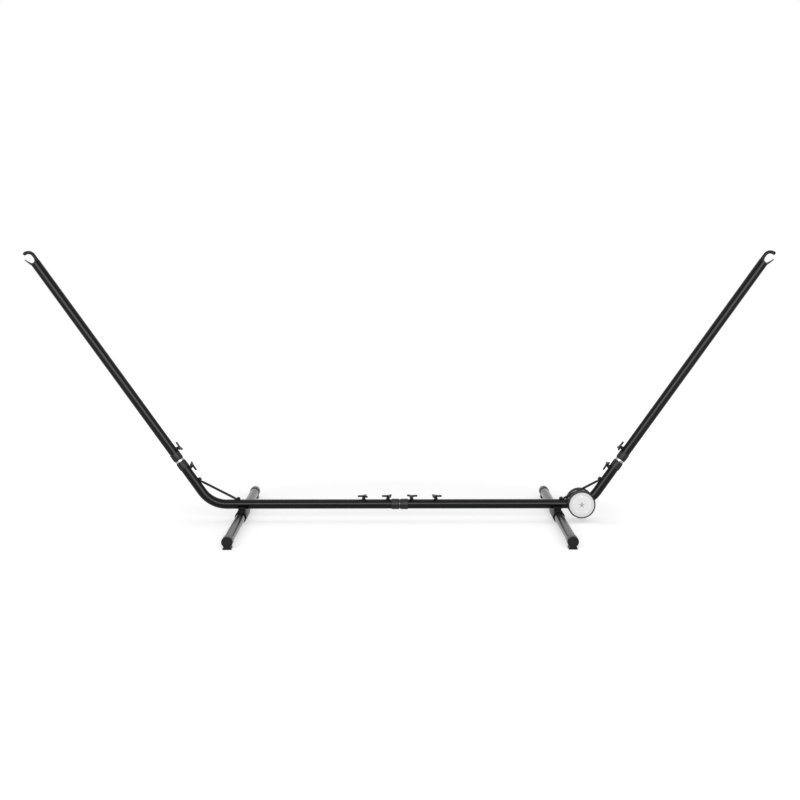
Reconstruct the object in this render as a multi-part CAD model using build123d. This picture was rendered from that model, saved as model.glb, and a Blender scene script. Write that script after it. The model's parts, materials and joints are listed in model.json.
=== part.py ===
from build123d import *
import math
import os

# Portable steel-tube hammock stand.
# Frame: +X along the length (the wheels are at +X), +Z up, origin on the floor at the centre.
# Millimetres and degrees. "Station" is the distance from the apex, where the axis of the
# beam and the axis of an arm would cross, measured along the arm.

# ---------------------------------------------------------------- tubes and layout
TUBE_OD = 40.0
TUBE_WALL = 1.5
ARM_ANGLE = 55.0            # slope of the arms above the floor
APEX_X = 791.0              # centre of the stand to each apex
BEND_RADIUS = 125.0         # centreline radius between beam and stub
JOINT_STATION = 225.0       # middle of the arm joint
ARM_END_STATION = 1233.0    # top face of the arm
FOOT_SETBACK = 130.0        # apex to foot axis, along the beam
FOOT_LENGTH = 1100.0        # over both caps

# ---------------------------------------------------------------- telescopic joints
SLIDE_CLEARANCE = 0.35      # radial, connector in tube and in collar
CONNECTOR_WALL = 2.0
CENTRE_CONNECTOR_LENGTH = 450.0
STUB_INSERTION = 98.0       # connector inside the stub, from the middle of the joint
ARM_INSERTION = 124.0       # connector inside the arm, from the middle of the joint
CENTRE_GAP = 0.6            # between the two centre collars
ARM_GAP = 9.0               # between the two collars of an arm joint
STOP_RING_OD = 38.6         # ring on the arm connector that both collars rest on
FACE_GAP = 0.3              # collar face to stop ring

COLLAR_WALL = 2.2
COLLAR_LENGTH = 34.0
COLLAR_LIP = 6.0            # solid end in front of the tube
COLLAR_NOSE = 8.0           # rounded length at the joint end
COLLAR_DROP = 2.8           # from the sleeve's side to the joint face
COLLAR_CHAMFER = 1.2
SNUG_FIT = 0.05             # radial, pieces that are pressed or glued together

# ---------------------------------------------------------------- clamp knobs
STUD_D = 8.0
THREAD_CLEARANCE = 0.05
STUD_HOLE_CLEARANCE = 0.5
STUD_TIP_GAP = 0.3          # stud tip to connector
STUD_GRIP = 9.0             # stud inside the knob
NUT_OD = 15.0
NUT_HEIGHT = 4.5
NUT_CHAMFER = 0.8
KNOB_SEAT_GAP = 0.5         # nut to knob when clamped
KNOB_REACH = 25.0           # axis to the tip of an arm of the knob
KNOB_ARM_WIDTH = 8.0
KNOB_ARM_THICKNESS = 7.5
KNOB_ARM_FILLET = 2.6
KNOB_HUB_D = 15.0
KNOB_STEM_D = 11.5
KNOB_SKIRT_D = 14.5
KNOB_SKIRT_HEIGHT = 2.0
KNOB_HEIGHT = 12.5          # over stem and arms
KNOB_CROTCH = 4.0           # radius between two arms
CENTRE_KNOB_GAP = 8.0       # collar to the nearest knob's nut
OUTER_KNOB_SPACING = 101.5  # between the two knobs on each half of the beam
STUB_KNOB_GAP = 1.0
ARM_KNOB_GAP = 2.0
# direction of one arm of each knob at rest, turned from the tube's axis
INNER_KNOB_TURN = {"left": 4.0, "right": 16.0}
OUTER_KNOB_TURN = {"left": -8.0, "right": 2.0}
STUB_KNOB_TURN = {"left": 176.0, "right": 188.0}
ARM_KNOB_TURN = {"left": 10.0, "right": -6.0}

# ---------------------------------------------------------------- hooks
HOOK_ROD_D = 14.0
HOOK_INSET = 0.8            # arm's upper side to the rod's side
HOOK_RISE = 28.0            # arm's top face to the start of the crook
HOOK_RADIUS = 26.0          # centreline of the crook
HOOK_SWEEP = 90.0
HOOK_TIP_D = 15.0
HOOK_SHANK = 46.0           # spigot inside the arm
HOOK_SHANK_D = 10.0
PLUG_DEPTH = 30.0
PLUG_CAP = 4.0
PLUG_CHAMFER = 1.0
TONGUE_LENGTH = 33.5        # above the arm's top face
TONGUE_LEAN = 9.5           # tip beyond the arm's lower side
TONGUE_WIDTH = 15.0
TONGUE_TIP = 2.6
TONGUE_SAG = 0.8            # hollow of the tongue's upper side
THROAT_RADIUS = 11.0        # round between tongue and rod
THROAT_FLOOR = 4.0          # above the arm's top face
THROAT_TURN = 25.7          # from the level of the round's centre down to the tongue

# ---------------------------------------------------------------- braces
BRACE_SPAN = 114.0          # apex to each brace bolt
BRACE_ROD_D = 10.0
TAB_LENGTH = 17.0
TAB_WIDTH = 15.0
TAB_THICKNESS = 4.6
TAB_BLEND = 12.0            # flattened end to round rod

# ---------------------------------------------------------------- fasteners
BOLT_D = 8.0
BOLT_CLEARANCE = 0.3
BOLT_HEAD_AF = 13.0
BOLT_HEAD_HEIGHT = 5.3
BOLT_NUT_AF = 13.0
BOLT_NUT_HEIGHT = 6.5
BOLT_NUT_SINK = 1.5         # flat nut below the top of the round bore
BOLT_TAIL = 2.0             # thread past the nut
FOOT_BOLT_HEAD_D = 15.0
FOOT_BOLT_HEAD_HEIGHT = 3.4

# ---------------------------------------------------------------- feet
CAP_WALL = 2.2
CAP_LENGTH = 45.0
CAP_END = 3.0
CAP_ROUND = 2.0
PAD_WIDTH = 34.0
PAD_HEIGHT = 6.5            # plate at the floor
PAD_NECK = 28.0             # width between plate and round
PAD_DROP = 7.5              # below the round of the cap
PAD_CHAMFER = 1.0
SADDLE_LENGTH = 150.0
SADDLE_WALL = 4.5
SADDLE_WEB = 3.0            # between foot tube and beam
CRADLE_LENGTH = 36.0        # along the beam
CRADLE_NECK = 30.0
CRADLE_LIP = 7.0            # height of the wide rim
CRADLE_WALL = 3.0           # beside the beam
CRADLE_DROP = 10.0          # rim below the beam's axis
SADDLE_ROUND = 1.2

# ---------------------------------------------------------------- wheels
AXLE_TURN = 15.0            # along the bend, from the end of the beam
AXLE_DROP = 0.5             # below the tube's centreline
AXLE_D = 10.0
AXLE_SLEEVE_OD = 15.0
RUNNING_FIT = 0.05          # radial, wheel on axle
WHEEL_GAP = 3.5             # tube side to wheel
THRUST_GAP = 0.3            # axle sleeve to wheel, and wheel to clip
WHEEL_D = 115.0
WHEEL_WIDTH = 25.0
TYRE_THICKNESS = 5.8
TYRE_ROUND = 2.4
TYRE_RIB = 1.5              # locking rib, height
TYRE_RIB_WIDTH = 8.0
RIM_WALL = 4.0
HUB_WEB = 4.0
HUB_WEB_SETBACK = 9.0       # web behind the outer face of the wheel
HUB_BOSS_OD = 26.0
HUB_BOSS_SETBACK = 6.0      # boss end behind the outer face of the wheel
HUB_RIB_COUNT = 5
HUB_RIB_WALL = 3.0
HUB_CHAMFER = 1.6
DISC_THICKNESS = 2.5
DISC_SETBACK = 1.4          # disc behind the rim
DISC_GROOVE_RADIUS = 42.5
DISC_GROOVE_WIDTH = 1.6
DISC_GROOVE_DEPTH = 0.9
BUTTON_D = 8.0
BUTTON_RADIUS = 35.0        # from the axle
BUTTON_HEIGHT = 1.0
BUTTON_ROUND = 0.4
STAR_INNER = 5.0
STAR_REACH = 20.0
STAR_WIDTH = 5.0
STAR_HEIGHT = 1.0
CLIP_OD = 18.0
CLIP_THICKNESS = 1.5

# ---------------------------------------------------------------- derived
TUBE_R = TUBE_OD / 2
BORE = TUBE_OD - 2 * TUBE_WALL
CONNECTOR_OD = BORE - 2 * SLIDE_CLEARANCE
COLLAR_OD = TUBE_OD + 2 * COLLAR_WALL
CAP_OD = TUBE_OD + 2 * CAP_WALL
FOOT_Z = CAP_OD / 2 + PAD_DROP
BEAM_Z = FOOT_Z + TUBE_OD + SADDLE_WEB
FOOT_X = APEX_X - FOOT_SETBACK
BEND_TANGENT = BEND_RADIUS * math.tan(math.radians(ARM_ANGLE / 2))
BEAM_START = CENTRE_GAP / 2 + COLLAR_LIP
BEAM_END = APEX_X - BEND_TANGENT
STUB_FACE = JOINT_STATION - ARM_GAP / 2
ARM_FACE = JOINT_STATION + ARM_GAP / 2
STUB_END = STUB_FACE - COLLAR_LIP
ARM_START = ARM_FACE + COLLAR_LIP
INNER_KNOB_X = CENTRE_GAP / 2 + COLLAR_LENGTH + CENTRE_KNOB_GAP + NUT_OD / 2
OUTER_KNOB_X = INNER_KNOB_X + OUTER_KNOB_SPACING
STUB_KNOB_STATION = STUB_FACE - COLLAR_LENGTH - STUB_KNOB_GAP - NUT_OD / 2
ARM_KNOB_STATION = ARM_FACE + COLLAR_LENGTH + ARM_KNOB_GAP + NUT_OD / 2
NUT_TOP = TUBE_R + NUT_HEIGHT
KNOB_BASE = NUT_TOP + KNOB_SEAT_GAP
AXLE_X = BEAM_END + BEND_RADIUS * math.sin(math.radians(AXLE_TURN))
AXLE_Z = BEAM_Z + BEND_RADIUS * (1 - math.cos(math.radians(AXLE_TURN))) - AXLE_DROP
WHEEL_INNER_Y = TUBE_R + WHEEL_GAP
WHEEL_OUTER_Y = WHEEL_INNER_Y + WHEEL_WIDTH
RIM_R = WHEEL_D / 2 - TYRE_THICKNESS
BOSS_OUTER_Y = WHEEL_OUTER_Y - HUB_BOSS_SETBACK

SIDES = ("left", "right")


# ---------------------------------------------------------------- shared shapes
def bar(diameter, start, end):
    """Round bar along Z from start to end."""
    upright = (Align.CENTER, Align.CENTER, Align.MIN)
    return Pos(0, 0, start) * Cylinder(diameter / 2, end - start, align=upright)


def pipe(outer, inner, start, end):
    """Round pipe along Z from start to end."""
    return bar(outer, start, end) - bar(inner, start, end)


def ring_edges(solid, height, radius):
    """Circular edges of a turned piece at one height and one radius."""
    circles = solid.edges().filter_by(GeomType.CIRCLE)
    return [edge for edge in circles
            if abs(edge.arc_center.Z - height) < 1e-4 and abs(edge.radius - radius) < 1e-4]


def tube_frame(x, z, slope):
    """Frame on the axis of a tube: Z runs along the tube and X points to its upper side."""
    along = Vector(math.cos(math.radians(slope)), 0, math.sin(math.radians(slope)))
    upper = Vector(-along.Z, 0, along.X)
    return Plane(origin=(x, 0, z), x_dir=upper, z_dir=along).location


BEAM = tube_frame(0, BEAM_Z, 0)
APEX = tube_frame(APEX_X, BEAM_Z, 0)
ARM = tube_frame(APEX_X, BEAM_Z, ARM_ANGLE)
FLIP = Rot(0, 180, 0)


def upward(frame, station):
    """Frame on a tube's axis at a station: Z points to the upper side and X along the tube."""
    return frame * Pos(0, 0, station) * Rot(0, 90, 0) * Rot(0, 0, 180)


def on_side(side, shape):
    """The +X copy itself for the right, or its mirror image for the left."""
    return shape if side == "right" else mirror(shape, about=Plane.YZ)


def group(shapes):
    """Separate solids that share one node."""
    return Compound(children=[solid for shape in shapes for solid in shape.solids()])


# ---------------------------------------------------------------- tubes
def bent_bar(diameter):
    """Round bar along the beam, through the bend and up the stub, on the +X side."""
    beam = BEAM * bar(diameter, BEAM_START, BEAM_END)
    section = Plane(origin=(BEAM_END, 0, BEAM_Z), x_dir=(0, 0, -1), z_dir=(1, 0, 0)) * Circle(diameter / 2)
    pivot = Axis((BEAM_END, 0, BEAM_Z + BEND_RADIUS), (0, -1, 0))
    bend = revolve(section, pivot, revolution_arc=ARM_ANGLE)
    stub = ARM * bar(diameter, BEND_TANGENT, STUB_END)
    return beam + bend + stub


def top_hole(frame, station, diameter):
    """Drill for a hole through the upper wall of a tube."""
    return upward(frame, station) * bar(diameter, TUBE_R / 2, TUBE_OD)


def base_tube(side):
    """Half of the base: beam, bend and stub in one bent tube."""
    tube = bent_bar(TUBE_OD) - bent_bar(BORE)
    stud_hole = STUD_D + 2 * STUD_HOLE_CLEARANCE
    bolt_hole = BOLT_D + 2 * BOLT_CLEARANCE
    tube -= top_hole(BEAM, INNER_KNOB_X, stud_hole)
    tube -= top_hole(BEAM, OUTER_KNOB_X, stud_hole)
    tube -= top_hole(ARM, STUB_KNOB_STATION, stud_hole)
    tube -= top_hole(APEX, -BRACE_SPAN, bolt_hole)
    tube -= top_hole(ARM, BRACE_SPAN, bolt_hole)
    tube -= Pos(FOOT_X, 0, 0) * bar(bolt_hole, BEAM_Z - TUBE_OD, BEAM_Z - TUBE_R / 2)
    if side == "right":
        tube -= axle_line() * bar(AXLE_SLEEVE_OD + 2 * SNUG_FIT, -TUBE_OD, TUBE_OD)
    return on_side(side, tube)


def arm_tube(side):
    """Straight arm from its collar to the hook."""
    tube = ARM * pipe(TUBE_OD, BORE, ARM_START, ARM_END_STATION - PLUG_CAP)
    tube -= top_hole(ARM, ARM_KNOB_STATION, STUD_D + 2 * STUD_HOLE_CLEARANCE)
    return on_side(side, tube)


# ---------------------------------------------------------------- joints
def collar():
    """Moulded sleeve over a tube's end: joint face at Z = 0, tube towards +Z."""
    side = COLLAR_OD / 2
    radius = (COLLAR_NOSE ** 2 + COLLAR_DROP ** 2) / (2 * COLLAR_DROP)
    half_turn = math.asin(COLLAR_NOSE / radius) / 2
    middle = (side - radius + radius * math.cos(half_turn), COLLAR_NOSE - radius * math.sin(half_turn))
    rim = [
        Line((0, 0), (side - COLLAR_DROP, 0)),
        ThreePointArc((side - COLLAR_DROP, 0), middle, (side, COLLAR_NOSE)),
        Line((side, COLLAR_NOSE), (side, COLLAR_LENGTH - COLLAR_CHAMFER)),
        Line((side, COLLAR_LENGTH - COLLAR_CHAMFER), (side - COLLAR_CHAMFER, COLLAR_LENGTH)),
        Line((side - COLLAR_CHAMFER, COLLAR_LENGTH), (0, COLLAR_LENGTH)),
        Line((0, COLLAR_LENGTH), (0, 0)),
    ]
    sleeve = revolve(Plane.XZ * make_face(rim), Axis.Z)
    sleeve -= bar(TUBE_OD + 2 * SNUG_FIT, COLLAR_LIP, COLLAR_LENGTH)
    sleeve -= bar(CONNECTOR_OD + 2 * SLIDE_CLEARANCE, 0, COLLAR_LIP)
    return sleeve


def centre_collar(side):
    return on_side(side, BEAM * Pos(0, 0, CENTRE_GAP / 2) * collar())


def stub_collar(side):
    return on_side(side, ARM * Pos(0, 0, STUB_FACE) * FLIP * collar())


def arm_collar(side):
    return on_side(side, ARM * Pos(0, 0, ARM_FACE) * collar())


def centre_connector():
    """Plain inner tube that joins the two halves of the beam."""
    half = CENTRE_CONNECTOR_LENGTH / 2
    return BEAM * pipe(CONNECTOR_OD, CONNECTOR_OD - 2 * CONNECTOR_WALL, -half, half)


def arm_connector(side):
    """Inner tube of an arm joint."""
    start = JOINT_STATION - STUB_INSERTION
    end = JOINT_STATION + ARM_INSERTION
    return on_side(side, ARM * pipe(CONNECTOR_OD, CONNECTOR_OD - 2 * CONNECTOR_WALL, start, end))


def stop_ring(side):
    """Ring pressed on the arm connector, between the two collars."""
    bore = CONNECTOR_OD + 2 * SNUG_FIT
    return on_side(side, ARM * pipe(STOP_RING_OD, bore, STUB_FACE + FACE_GAP, ARM_FACE - FACE_GAP))


# ---------------------------------------------------------------- clamp knobs
def knob_nut():
    """Round weld nut on the tube: origin on the tube's axis, Z outward, X along the tube."""
    nut = bar(NUT_OD, 0, NUT_TOP)
    nut = chamfer(ring_edges(nut, NUT_TOP, NUT_OD / 2), NUT_CHAMFER)
    nut -= Rot(0, 90, 0) * bar(TUBE_OD, -NUT_OD, NUT_OD)
    return nut - bar(STUD_D + 2 * THREAD_CLEARANCE, 0, NUT_TOP)


def knob_stud():
    """Threaded stud from the knob to the connector."""
    tip = CONNECTOR_OD / 2 + STUD_TIP_GAP
    stud = bar(STUD_D, tip, KNOB_BASE + STUD_GRIP)
    return chamfer(ring_edges(stud, tip, STUD_D / 2), STUD_D / 10)


def knob_head():
    """Three-armed hand knob on a slim stem."""
    reach = KNOB_REACH - KNOB_ARM_WIDTH / 2
    outline = Circle(KNOB_HUB_D / 2)
    for turn in (0, 120, 240):
        outline += Rot(0, 0, turn) * (
            Pos(reach / 2, 0) * Rectangle(reach, KNOB_ARM_WIDTH) + Pos(reach, 0) * Circle(KNOB_ARM_WIDTH / 2)
        )
    crotches = [v for v in outline.vertices() if math.hypot(v.X, v.Y) < reach / 2]
    outline = fillet(crotches, KNOB_CROTCH)
    arms_base = KNOB_BASE + KNOB_HEIGHT - KNOB_ARM_THICKNESS
    arms = extrude(Plane.XY.offset(arms_base) * outline, KNOB_ARM_THICKNESS)
    rims = arms.edges().filter_by(lambda edge: abs(edge.tangent_at(0.5).Z) < 0.5)
    arms = fillet(rims, min(KNOB_ARM_FILLET, 0.45 * KNOB_ARM_THICKNESS))
    stem = bar(KNOB_STEM_D, KNOB_BASE, arms_base + KNOB_ARM_THICKNESS / 2)
    skirt = bar(KNOB_SKIRT_D, KNOB_BASE, KNOB_BASE + KNOB_SKIRT_HEIGHT)
    skirt = chamfer(ring_edges(skirt, KNOB_BASE + KNOB_SKIRT_HEIGHT, KNOB_SKIRT_D / 2), KNOB_SKIRT_HEIGHT / 2)
    socket = bar(STUD_D + 2 * THREAD_CLEARANCE, KNOB_BASE, KNOB_BASE + STUD_GRIP + STUD_TIP_GAP)
    return arms + stem + skirt - socket


def knob_places(side):
    """Frame and resting turn of every clamp knob on one side, by name."""
    return {
        "inner": (upward(BEAM, INNER_KNOB_X), INNER_KNOB_TURN[side]),
        "outer": (upward(BEAM, OUTER_KNOB_X), OUTER_KNOB_TURN[side]),
        "stub": (upward(ARM, STUB_KNOB_STATION), STUB_KNOB_TURN[side]),
        "arm": (upward(ARM, ARM_KNOB_STATION), ARM_KNOB_TURN[side]),
    }


# ---------------------------------------------------------------- hooks
def end_plug(side):
    """Plug in the arm's top end with the tongue that guides a ring into the hook."""
    plug = bar(BORE - 2 * SNUG_FIT, -PLUG_DEPTH, 0)
    cap = bar(TUBE_OD, -PLUG_CAP, 0)
    cap = chamfer(ring_edges(cap, 0, TUBE_R), PLUG_CHAMFER)
    plug += cap + tongue()
    plug -= Pos(hook_offset(), 0, 0) * bar(HOOK_SHANK_D + 2 * SNUG_FIT, -PLUG_DEPTH, 0)
    plug -= Pos(hook_offset(), 0, 0) * bar(HOOK_ROD_D + 2 * SNUG_FIT, 0, HOOK_RISE)
    return on_side(side, ARM * Pos(0, 0, ARM_END_STATION) * plug)


def hook_offset():
    """Distance of the hook rod from the arm's axis, towards the arm's upper side."""
    return TUBE_R - HOOK_INSET - HOOK_ROD_D / 2


def tongue():
    """Tapered finger on the lower side of the arm's top face and the round throat up to the rod."""
    root_out = (-TUBE_R + PLUG_CHAMFER, -PLUG_CAP / 2)
    root_in = (hook_offset() - HOOK_ROD_D / 4, -PLUG_CAP / 2)
    throat_x = hook_offset() - HOOK_ROD_D / 2 - THROAT_RADIUS
    throat_top = THROAT_FLOOR + THROAT_RADIUS
    shoulder = (root_in[0], throat_top)
    brim = (throat_x + THROAT_RADIUS, throat_top)
    crest_turn = math.radians(THROAT_TURN)
    crest = (throat_x - THROAT_RADIUS * math.cos(crest_turn), throat_top - THROAT_RADIUS * math.sin(crest_turn))
    tip_out = (-TUBE_R - TONGUE_LEAN, TONGUE_LENGTH)
    tip_in = (tip_out[0] + TONGUE_TIP, TONGUE_LENGTH)
    hollow = ((crest[0] + tip_in[0]) / 2 - TONGUE_SAG, (crest[1] + tip_in[1]) / 2 - TONGUE_SAG)
    bulge = ((root_out[0] + tip_out[0]) / 2 - TONGUE_SAG / 2, (root_out[1] + tip_out[1]) / 2 - TONGUE_SAG / 2)
    rim = [
        Line(root_out, root_in),
        Line(root_in, shoulder),
        Line(shoulder, brim),
        ThreePointArc(brim, (throat_x, THROAT_FLOOR), crest),
        ThreePointArc(crest, hollow, tip_in),
        Line(tip_in, tip_out),
        ThreePointArc(tip_out, bulge, root_out),
    ]
    profile = Plane.XZ * make_face(rim)
    return extrude(profile, TONGUE_WIDTH / 2, both=True)


def hook(side):
    """Spigot in the arm, then thicker round rod up and over in an open crook with a ball tip."""
    centre_x = hook_offset() - HOOK_RADIUS
    start = (hook_offset(), HOOK_RISE)
    end_angle = math.radians(HOOK_SWEEP)
    end = (centre_x + HOOK_RADIUS * math.cos(end_angle), HOOK_RISE + HOOK_RADIUS * math.sin(end_angle))
    shank = bar(HOOK_SHANK_D, -HOOK_SHANK, HOOK_RISE) + bar(HOOK_ROD_D, SNUG_FIT, HOOK_RISE)
    shank = Pos(hook_offset(), 0, 0) * shank
    section = Pos(start[0], 0, start[1]) * Circle(HOOK_ROD_D / 2)
    crook = revolve(section, Axis((centre_x, 0, HOOK_RISE), (0, -1, 0)), revolution_arc=HOOK_SWEEP)
    tip = Pos(end[0], 0, end[1]) * Sphere(HOOK_TIP_D / 2)
    return on_side(side, ARM * Pos(0, 0, ARM_END_STATION) * (shank + crook + tip))


# ---------------------------------------------------------------- braces and bolts
def brace_tab():
    """Flattened end of the brace: bolt on Z, tube's axis at Z = 0, rod leaving towards +X."""
    base = Plane.XY.offset(TUBE_R)
    outline = Rectangle(TAB_LENGTH - TAB_WIDTH / 2, TAB_WIDTH, align=(Align.MIN, Align.CENTER))
    outline = Pos(-TAB_LENGTH / 2 + TAB_WIDTH / 2, 0) * outline
    outline += Pos(-TAB_LENGTH / 2 + TAB_WIDTH / 2, 0) * Circle(TAB_WIDTH / 2)
    plate = extrude(base * outline, TAB_THICKNESS)
    flat = Rot(0, 90, 0) * Rectangle(TAB_THICKNESS, TAB_WIDTH)
    flat = Pos(TAB_LENGTH / 2, 0, TUBE_R + TAB_THICKNESS / 2) * flat
    blend = loft([flat, brace_start() * Circle(BRACE_ROD_D / 2)])
    return plate + blend - bar(BOLT_D + 2 * BOLT_CLEARANCE, 0, TUBE_OD)


def brace_start():
    """Start of the round rod past a tab, in the frame of the tab: Z runs along the rod."""
    return Pos(TAB_LENGTH / 2, 0, TUBE_R + TAB_THICKNESS / 2) * Rot(0, 90 - ARM_ANGLE / 2, 0) * Pos(0, 0, TAB_BLEND)


def brace_rod(side):
    """Round rod across the inside of the bend, flattened and bolted at both ends."""
    beam_bolt = upward(APEX, -BRACE_SPAN)
    stub_bolt = upward(ARM, BRACE_SPAN) * Rot(0, 0, 180)
    span = (stub_bolt * brace_start()).position - (beam_bolt * brace_start()).position
    rod = beam_bolt * brace_start() * bar(BRACE_ROD_D, 0, span.length)
    return on_side(side, rod + beam_bolt * brace_tab() + stub_bolt * brace_tab())


def hexagon(across_flats, start, end):
    """Hexagonal bar along Z."""
    outline = RegularPolygon(across_flats / 2, 6, major_radius=False)
    return extrude(Plane.XY.offset(start) * outline, end - start)


def nut_seat():
    """Height over a tube's axis where a flat nut bears on the inside of the upper wall."""
    return BORE / 2 - BOLT_NUT_SINK


def inner_nut():
    """Nut inside a tube against its upper wall: tube's axis at Z = 0, bolt on Z."""
    nut = hexagon(BOLT_NUT_AF, nut_seat() - BOLT_NUT_HEIGHT, TUBE_R)
    bore = Rot(0, 90, 0) * bar(BORE, -TUBE_OD, TUBE_OD)
    return (nut & bore) - bar(BOLT_D + 2 * THREAD_CLEARANCE, 0, TUBE_OD)


def brace_bolt():
    """Hexagon bolt through a brace tab: tube's axis at Z = 0, head up."""
    seat = TUBE_R + TAB_THICKNESS
    head = hexagon(BOLT_HEAD_AF, seat, seat + BOLT_HEAD_HEIGHT)
    shank = bar(BOLT_D, nut_seat() - BOLT_NUT_HEIGHT - BOLT_TAIL, seat + BOLT_HEAD_HEIGHT / 2)
    return head + shank


def foot_bolt():
    """Low-headed bolt up through saddle, foot tube and the beam's lower wall."""
    head_top = FOOT_Z - TUBE_R - SNUG_FIT - SADDLE_WALL
    head = bar(FOOT_BOLT_HEAD_D, head_top - FOOT_BOLT_HEAD_HEIGHT, head_top)
    head = fillet(ring_edges(head, head_top - FOOT_BOLT_HEAD_HEIGHT, FOOT_BOLT_HEAD_D / 2),
                  FOOT_BOLT_HEAD_HEIGHT / 3)
    top = BEAM_Z - nut_seat() + BOLT_NUT_HEIGHT + BOLT_TAIL
    return Pos(FOOT_X, 0, 0) * (head + bar(BOLT_D, head_top - FOOT_BOLT_HEAD_HEIGHT / 2, top))


def base_bolts(side):
    """Two brace bolts and the foot bolt of one half of the base, with their nuts."""
    pieces = []
    for place in (upward(APEX, -BRACE_SPAN), upward(ARM, BRACE_SPAN)):
        pieces += [place * brace_bolt(), place * inner_nut()]
    pieces += [foot_bolt(), upward(BEAM, FOOT_X) * Rot(180, 0, 0) * inner_nut()]
    return on_side(side, group(pieces))


def knob_nuts(side):
    """The three weld nuts on one half of the base."""
    places = knob_places(side)
    return on_side(side, group([places[name][0] * knob_nut() for name in ("inner", "outer", "stub")]))


# ---------------------------------------------------------------- feet
def along_y(x, z):
    """Frame whose Z runs along -Y through a point of the X-Z plane, with X kept."""
    return Pos(x, 0, z) * Rot(90, 0, 0)


def foot_tube(side):
    """Cross tube of a foot, with the bolt's hole through both walls."""
    half = FOOT_LENGTH / 2 - CAP_END - SNUG_FIT
    tube = along_y(FOOT_X, FOOT_Z) * pipe(TUBE_OD, BORE, -half, half)
    tube -= Pos(FOOT_X, 0, 0) * bar(BOLT_D + 2 * BOLT_CLEARANCE, 0, BEAM_Z)
    return on_side(side, tube)


def foot_cap(side, end):
    """Sleeve cap with a flat pad under it; end is -1 for the front and +1 for the rear."""
    face = FOOT_LENGTH / 2
    shell = bar(CAP_OD, face - CAP_LENGTH, face)
    shell = fillet(ring_edges(shell, face, CAP_OD / 2), CAP_ROUND)
    pad = Pos(0, FOOT_Z - PAD_HEIGHT / 2, face - CAP_LENGTH / 2) * Box(PAD_WIDTH, PAD_HEIGHT, CAP_LENGTH)
    pad = chamfer(pad.faces().sort_by(Axis.Y)[-1].edges(), PAD_CHAMFER)
    neck_height = FOOT_Z - PAD_HEIGHT / 2
    neck = Pos(0, neck_height / 2, face - CAP_LENGTH / 2) * Box(PAD_NECK, neck_height, CAP_LENGTH)
    shell += pad + neck
    shell -= bar(TUBE_OD + 2 * SNUG_FIT, face - CAP_LENGTH, face - CAP_END)
    place = Pos(FOOT_X, 0, FOOT_Z) * Rot(-90, 0, 0)
    cap = place * shell
    return on_side(side, cap if end > 0 else mirror(cap, about=Plane.XZ))


def foot_saddle(side):
    """Cross fitting: a sleeve round the foot tube and a cradle that hugs the beam."""
    half = SADDLE_LENGTH / 2
    outer = TUBE_OD + 2 * SNUG_FIT + 2 * SADDLE_WALL
    sleeve = bar(outer, -half, half)
    sleeve = fillet(ring_edges(sleeve, half, outer / 2) + ring_edges(sleeve, -half, outer / 2), SADDLE_ROUND)
    body = along_y(FOOT_X, FOOT_Z) * sleeve
    rim_z = BEAM_Z - CRADLE_DROP
    width = TUBE_OD + 2 * CRADLE_WALL
    neck = Pos(FOOT_X, 0, FOOT_Z) * Box(CRADLE_NECK, width, rim_z - FOOT_Z,
                                        align=(Align.CENTER, Align.CENTER, Align.MIN))
    lip = Pos(FOOT_X, 0, rim_z - CRADLE_LIP) * Box(CRADLE_LENGTH, width, CRADLE_LIP,
                                                   align=(Align.CENTER, Align.CENTER, Align.MIN))
    lip = fillet(lip.edges().filter_by(Axis.Z), min(3 * SADDLE_ROUND, CRADLE_WALL))
    body += neck + lip
    body -= along_y(FOOT_X, FOOT_Z) * bar(TUBE_OD + 2 * SNUG_FIT, -half, half)
    body -= BEAM * bar(TUBE_OD + 2 * SNUG_FIT, FOOT_X - CRADLE_LENGTH, FOOT_X + CRADLE_LENGTH)
    body -= Pos(FOOT_X, 0, 0) * bar(BOLT_D + 2 * BOLT_CLEARANCE, 0, BEAM_Z)
    return on_side(side, body)


# ---------------------------------------------------------------- wheels
def axle_line():
    """Frame on the axle with Z along -Y."""
    return along_y(AXLE_X, AXLE_Z)


def axle_sleeve():
    """Steel sleeve welded through the bend; its ends keep the wheels off the tube."""
    end = WHEEL_INNER_Y - THRUST_GAP
    return axle_line() * pipe(AXLE_SLEEVE_OD, AXLE_D + 2 * SNUG_FIT, -end, end)


def wheel_axle():
    """Axle rod through the sleeve and both wheels."""
    end = BOSS_OUTER_Y + THRUST_GAP + CLIP_THICKNESS + THRUST_GAP
    return axle_line() * bar(AXLE_D, -end, end)


def axle_clips():
    """Push-on clips that hold the wheels on the axle."""
    start = BOSS_OUTER_Y + THRUST_GAP
    clip = pipe(CLIP_OD, AXLE_D, start, start + CLIP_THICKNESS)
    return group([axle_line() * clip, axle_line() * mirror(clip, about=Plane.XY)])


def on_axle(end, shape):
    """A wheel piece made along +Z, put on the front (-1) or the rear (+1) end of the axle."""
    return axle_line() * (shape if end < 0 else mirror(shape, about=Plane.XY))


def wheel_tyre(end):
    """Tyre band with rounded shoulders and a locking rib inside."""
    band = bar(WHEEL_D, WHEEL_INNER_Y, WHEEL_OUTER_Y)
    shoulders = ring_edges(band, WHEEL_INNER_Y, WHEEL_D / 2) + ring_edges(band, WHEEL_OUTER_Y, WHEEL_D / 2)
    band = fillet(shoulders, TYRE_ROUND)
    return on_axle(end, band - rim_band())


def rim_band():
    """Outer envelope of the hub, with the groove that takes the tyre's rib."""
    middle = (WHEEL_INNER_Y + WHEEL_OUTER_Y) / 2
    band = bar(2 * RIM_R, WHEEL_INNER_Y, WHEEL_OUTER_Y)
    groove = pipe(2 * RIM_R, 2 * (RIM_R - TYRE_RIB), middle - TYRE_RIB_WIDTH / 2, middle + TYRE_RIB_WIDTH / 2)
    return band - groove


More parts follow.
